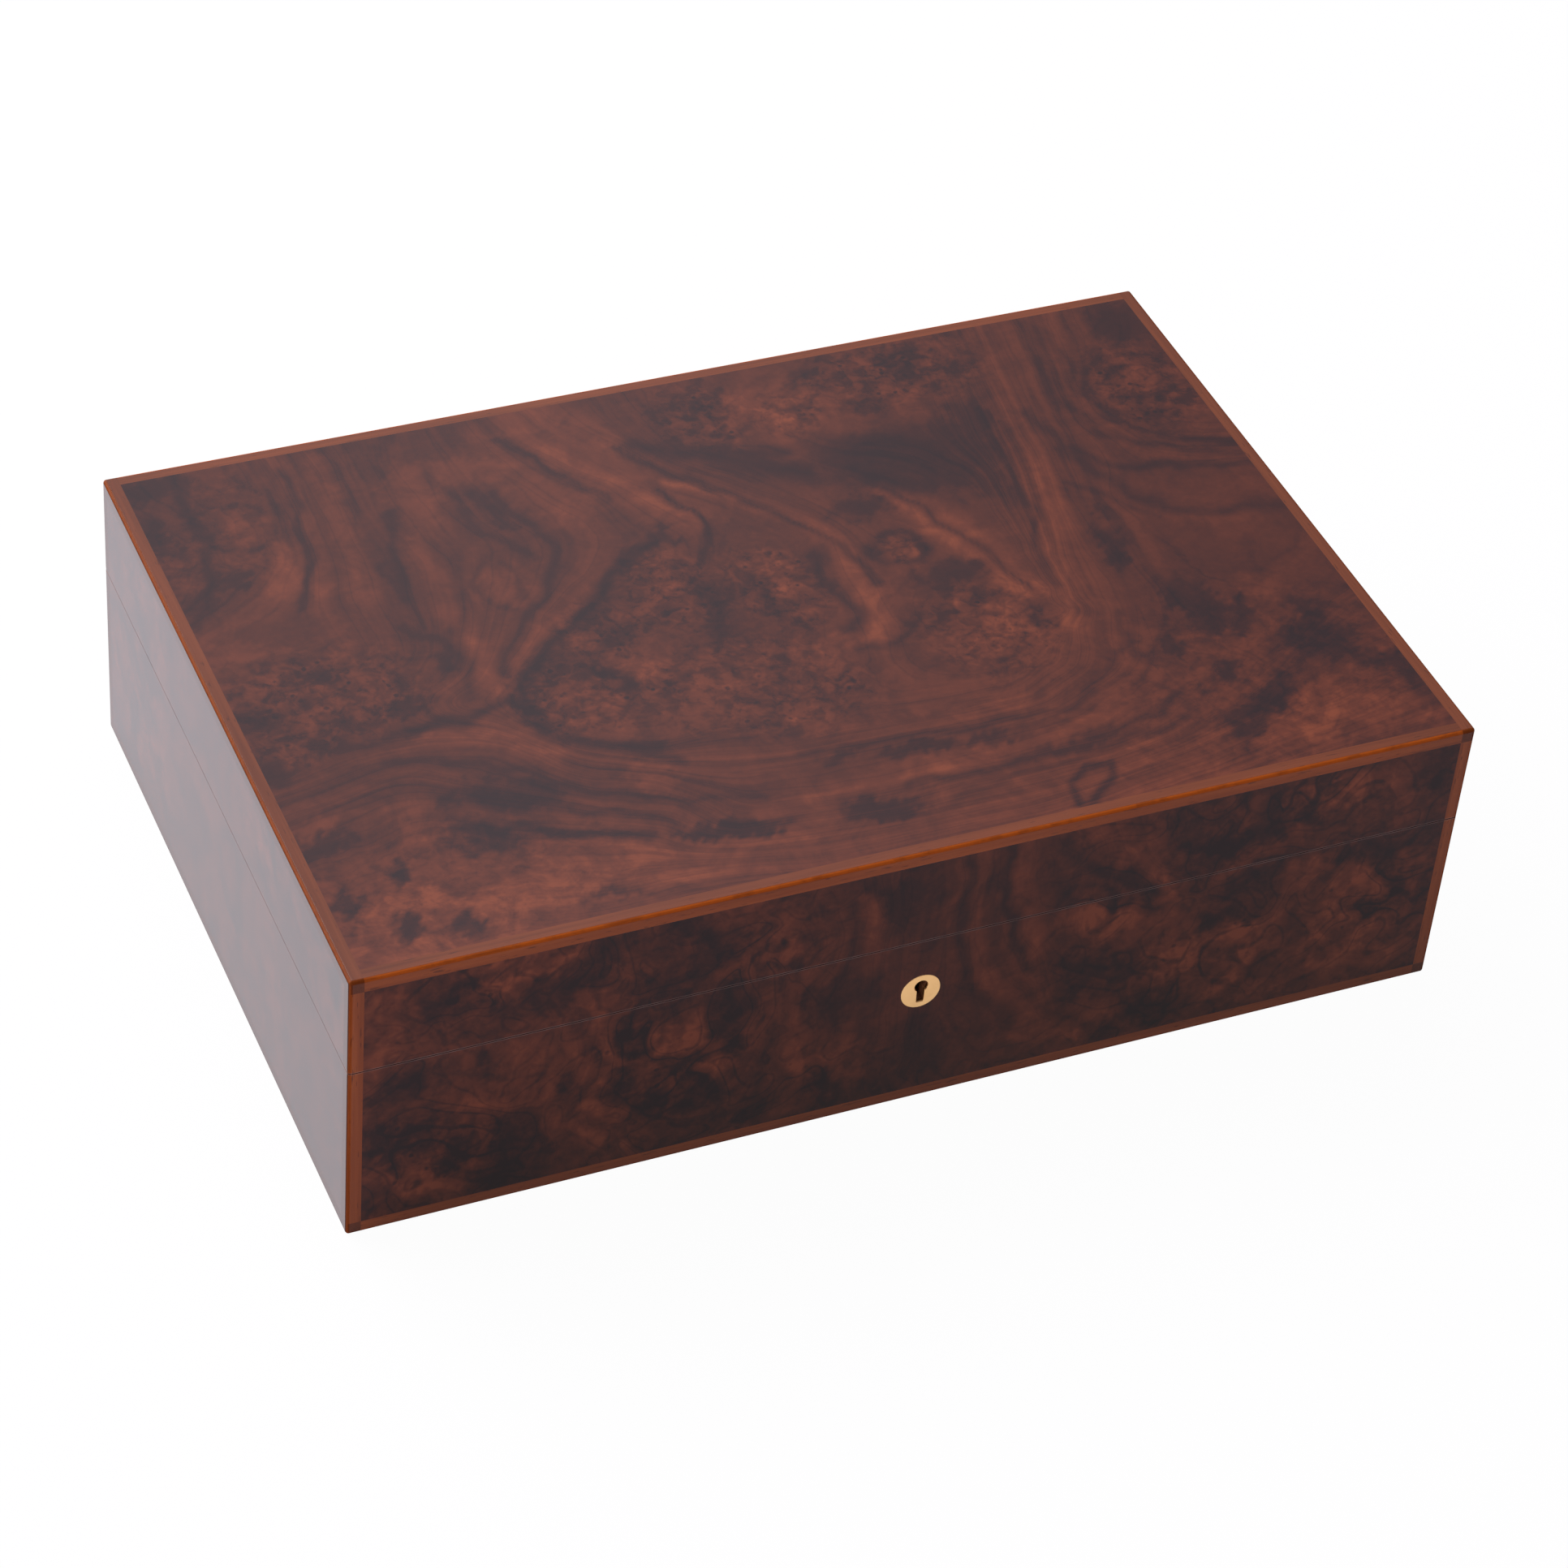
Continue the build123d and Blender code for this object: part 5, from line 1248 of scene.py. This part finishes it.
# Stage, light and camera
def stage_floor():
    """A pale floor that looks nearly white to the camera, with a trace of the box's shadow."""
    signs = ((-1, -1), (1, -1), (1, 1), (-1, 1))
    corners = [(right * floor_half, back * floor_half, 0.0) for right, back in signs]
    floor = mesh_piece("floor", corners, [(0, 1, 2, 3)])
    finish = Finish("floor")
    path = finish.node("ShaderNodeLightPath").outputs
    seen = finish.math("MULTIPLY", path["Is Camera Ray"], floor_white_to_camera)
    seen = finish.math("MULTIPLY_ADD", path["Is Glossy Ray"], floor_white_in_gloss, seen)
    seen = finish.math("MULTIPLY_ADD", path["Is Transmission Ray"], floor_white_in_gloss, seen)
    paper = finish.node("ShaderNodeBsdfDiffuse", {"Color": (*floor_tint, 1.0)})
    white = finish.node("ShaderNodeEmission", {"Color": (1.0, 1.0, 1.0, 1.0), "Strength": 1.0})
    both = finish.node("ShaderNodeMixShader", {0: seen, 1: paper.outputs[0], 2: white.outputs[0]})
    finish.node("ShaderNodeOutputMaterial", {0: both.outputs[0]})
    floor.data.materials.append(finish.owner)


def room_light():
    """The room around the box: brighter towards the back, dimmer in front and far to the right."""
    room = Finish("room", bpy.data.worlds)
    bpy.context.scene.world = room.owner
    direction = room.parts(room.node("ShaderNodeTexCoord").outputs["Generated"])
    back = room.ramp(direction[1], room_turn_from, room_turn_to, room_front, room_back)
    right = room.ramp(direction[0], room_dim_from, room_dim_to, 1.0, room_dim_share)
    strength = room.math("MULTIPLY", back, right)
    lit = room.node("ShaderNodeBackground", {"Color": (*room_tint, 1.0), "Strength": strength})
    white = room.node("ShaderNodeBackground", {"Color": (1.0, 1.0, 1.0, 1.0), "Strength": 1.0})
    camera_ray = room.node("ShaderNodeLightPath").outputs["Is Camera Ray"]
    both = room.node("ShaderNodeMixShader", {0: camera_ray, 1: lit.outputs[0], 2: white.outputs[0]})
    room.node("ShaderNodeOutputWorld", {0: both.outputs[0]})


def soft_lamp():
    """One large square lamp, high at the back left."""
    light = bpy.data.lights.new("soft_lamp", "AREA")
    light.size = lamp_size
    light.energy = lamp_power
    lamp = bpy.data.objects.new("soft_lamp", light)
    bpy.context.scene.collection.objects.link(lamp)
    lamp.location = lamp_place
    aim = Vector(lamp_aim) - Vector(lamp_place)
    lamp.rotation_euler = aim.to_track_quat("-Z", "Y").to_euler()


def photograph_camera():
    """The camera, from its azimuth, elevation and roll."""
    azimuth = math.radians(camera_azimuth)
    elevation = math.radians(camera_elevation)
    roll = math.radians(camera_roll)
    back = Vector((
        math.sin(azimuth) * math.cos(elevation),
        -math.cos(azimuth) * math.cos(elevation),
        math.sin(elevation),
    ))
    level_right = Vector((0.0, 0.0, 1.0)).cross(back).normalized()
    level_up = back.cross(level_right)
    right = level_right * math.cos(roll) + level_up * math.sin(roll)
    up = level_up * math.cos(roll) - level_right * math.sin(roll)
    data = bpy.data.cameras.new("camera")
    data.sensor_width = camera_film
    data.lens = camera_lens
    camera = bpy.data.objects.new("camera", data)
    bpy.context.scene.collection.objects.link(camera)
    turn = Matrix((right, up, back)).transposed().to_4x4()
    camera.matrix_world = Matrix.Translation(camera_place) @ turn
    bpy.context.scene.camera = camera


dress_veneer()
dress_banding()
dress_sawn_wood()
dress_fittings()
escutcheon_plate()
felt_sheet()
dial_print()
stage_floor()
room_light()
soft_lamp()
photograph_camera()
bpy.context.scene.view_settings.view_transform = "Standard"
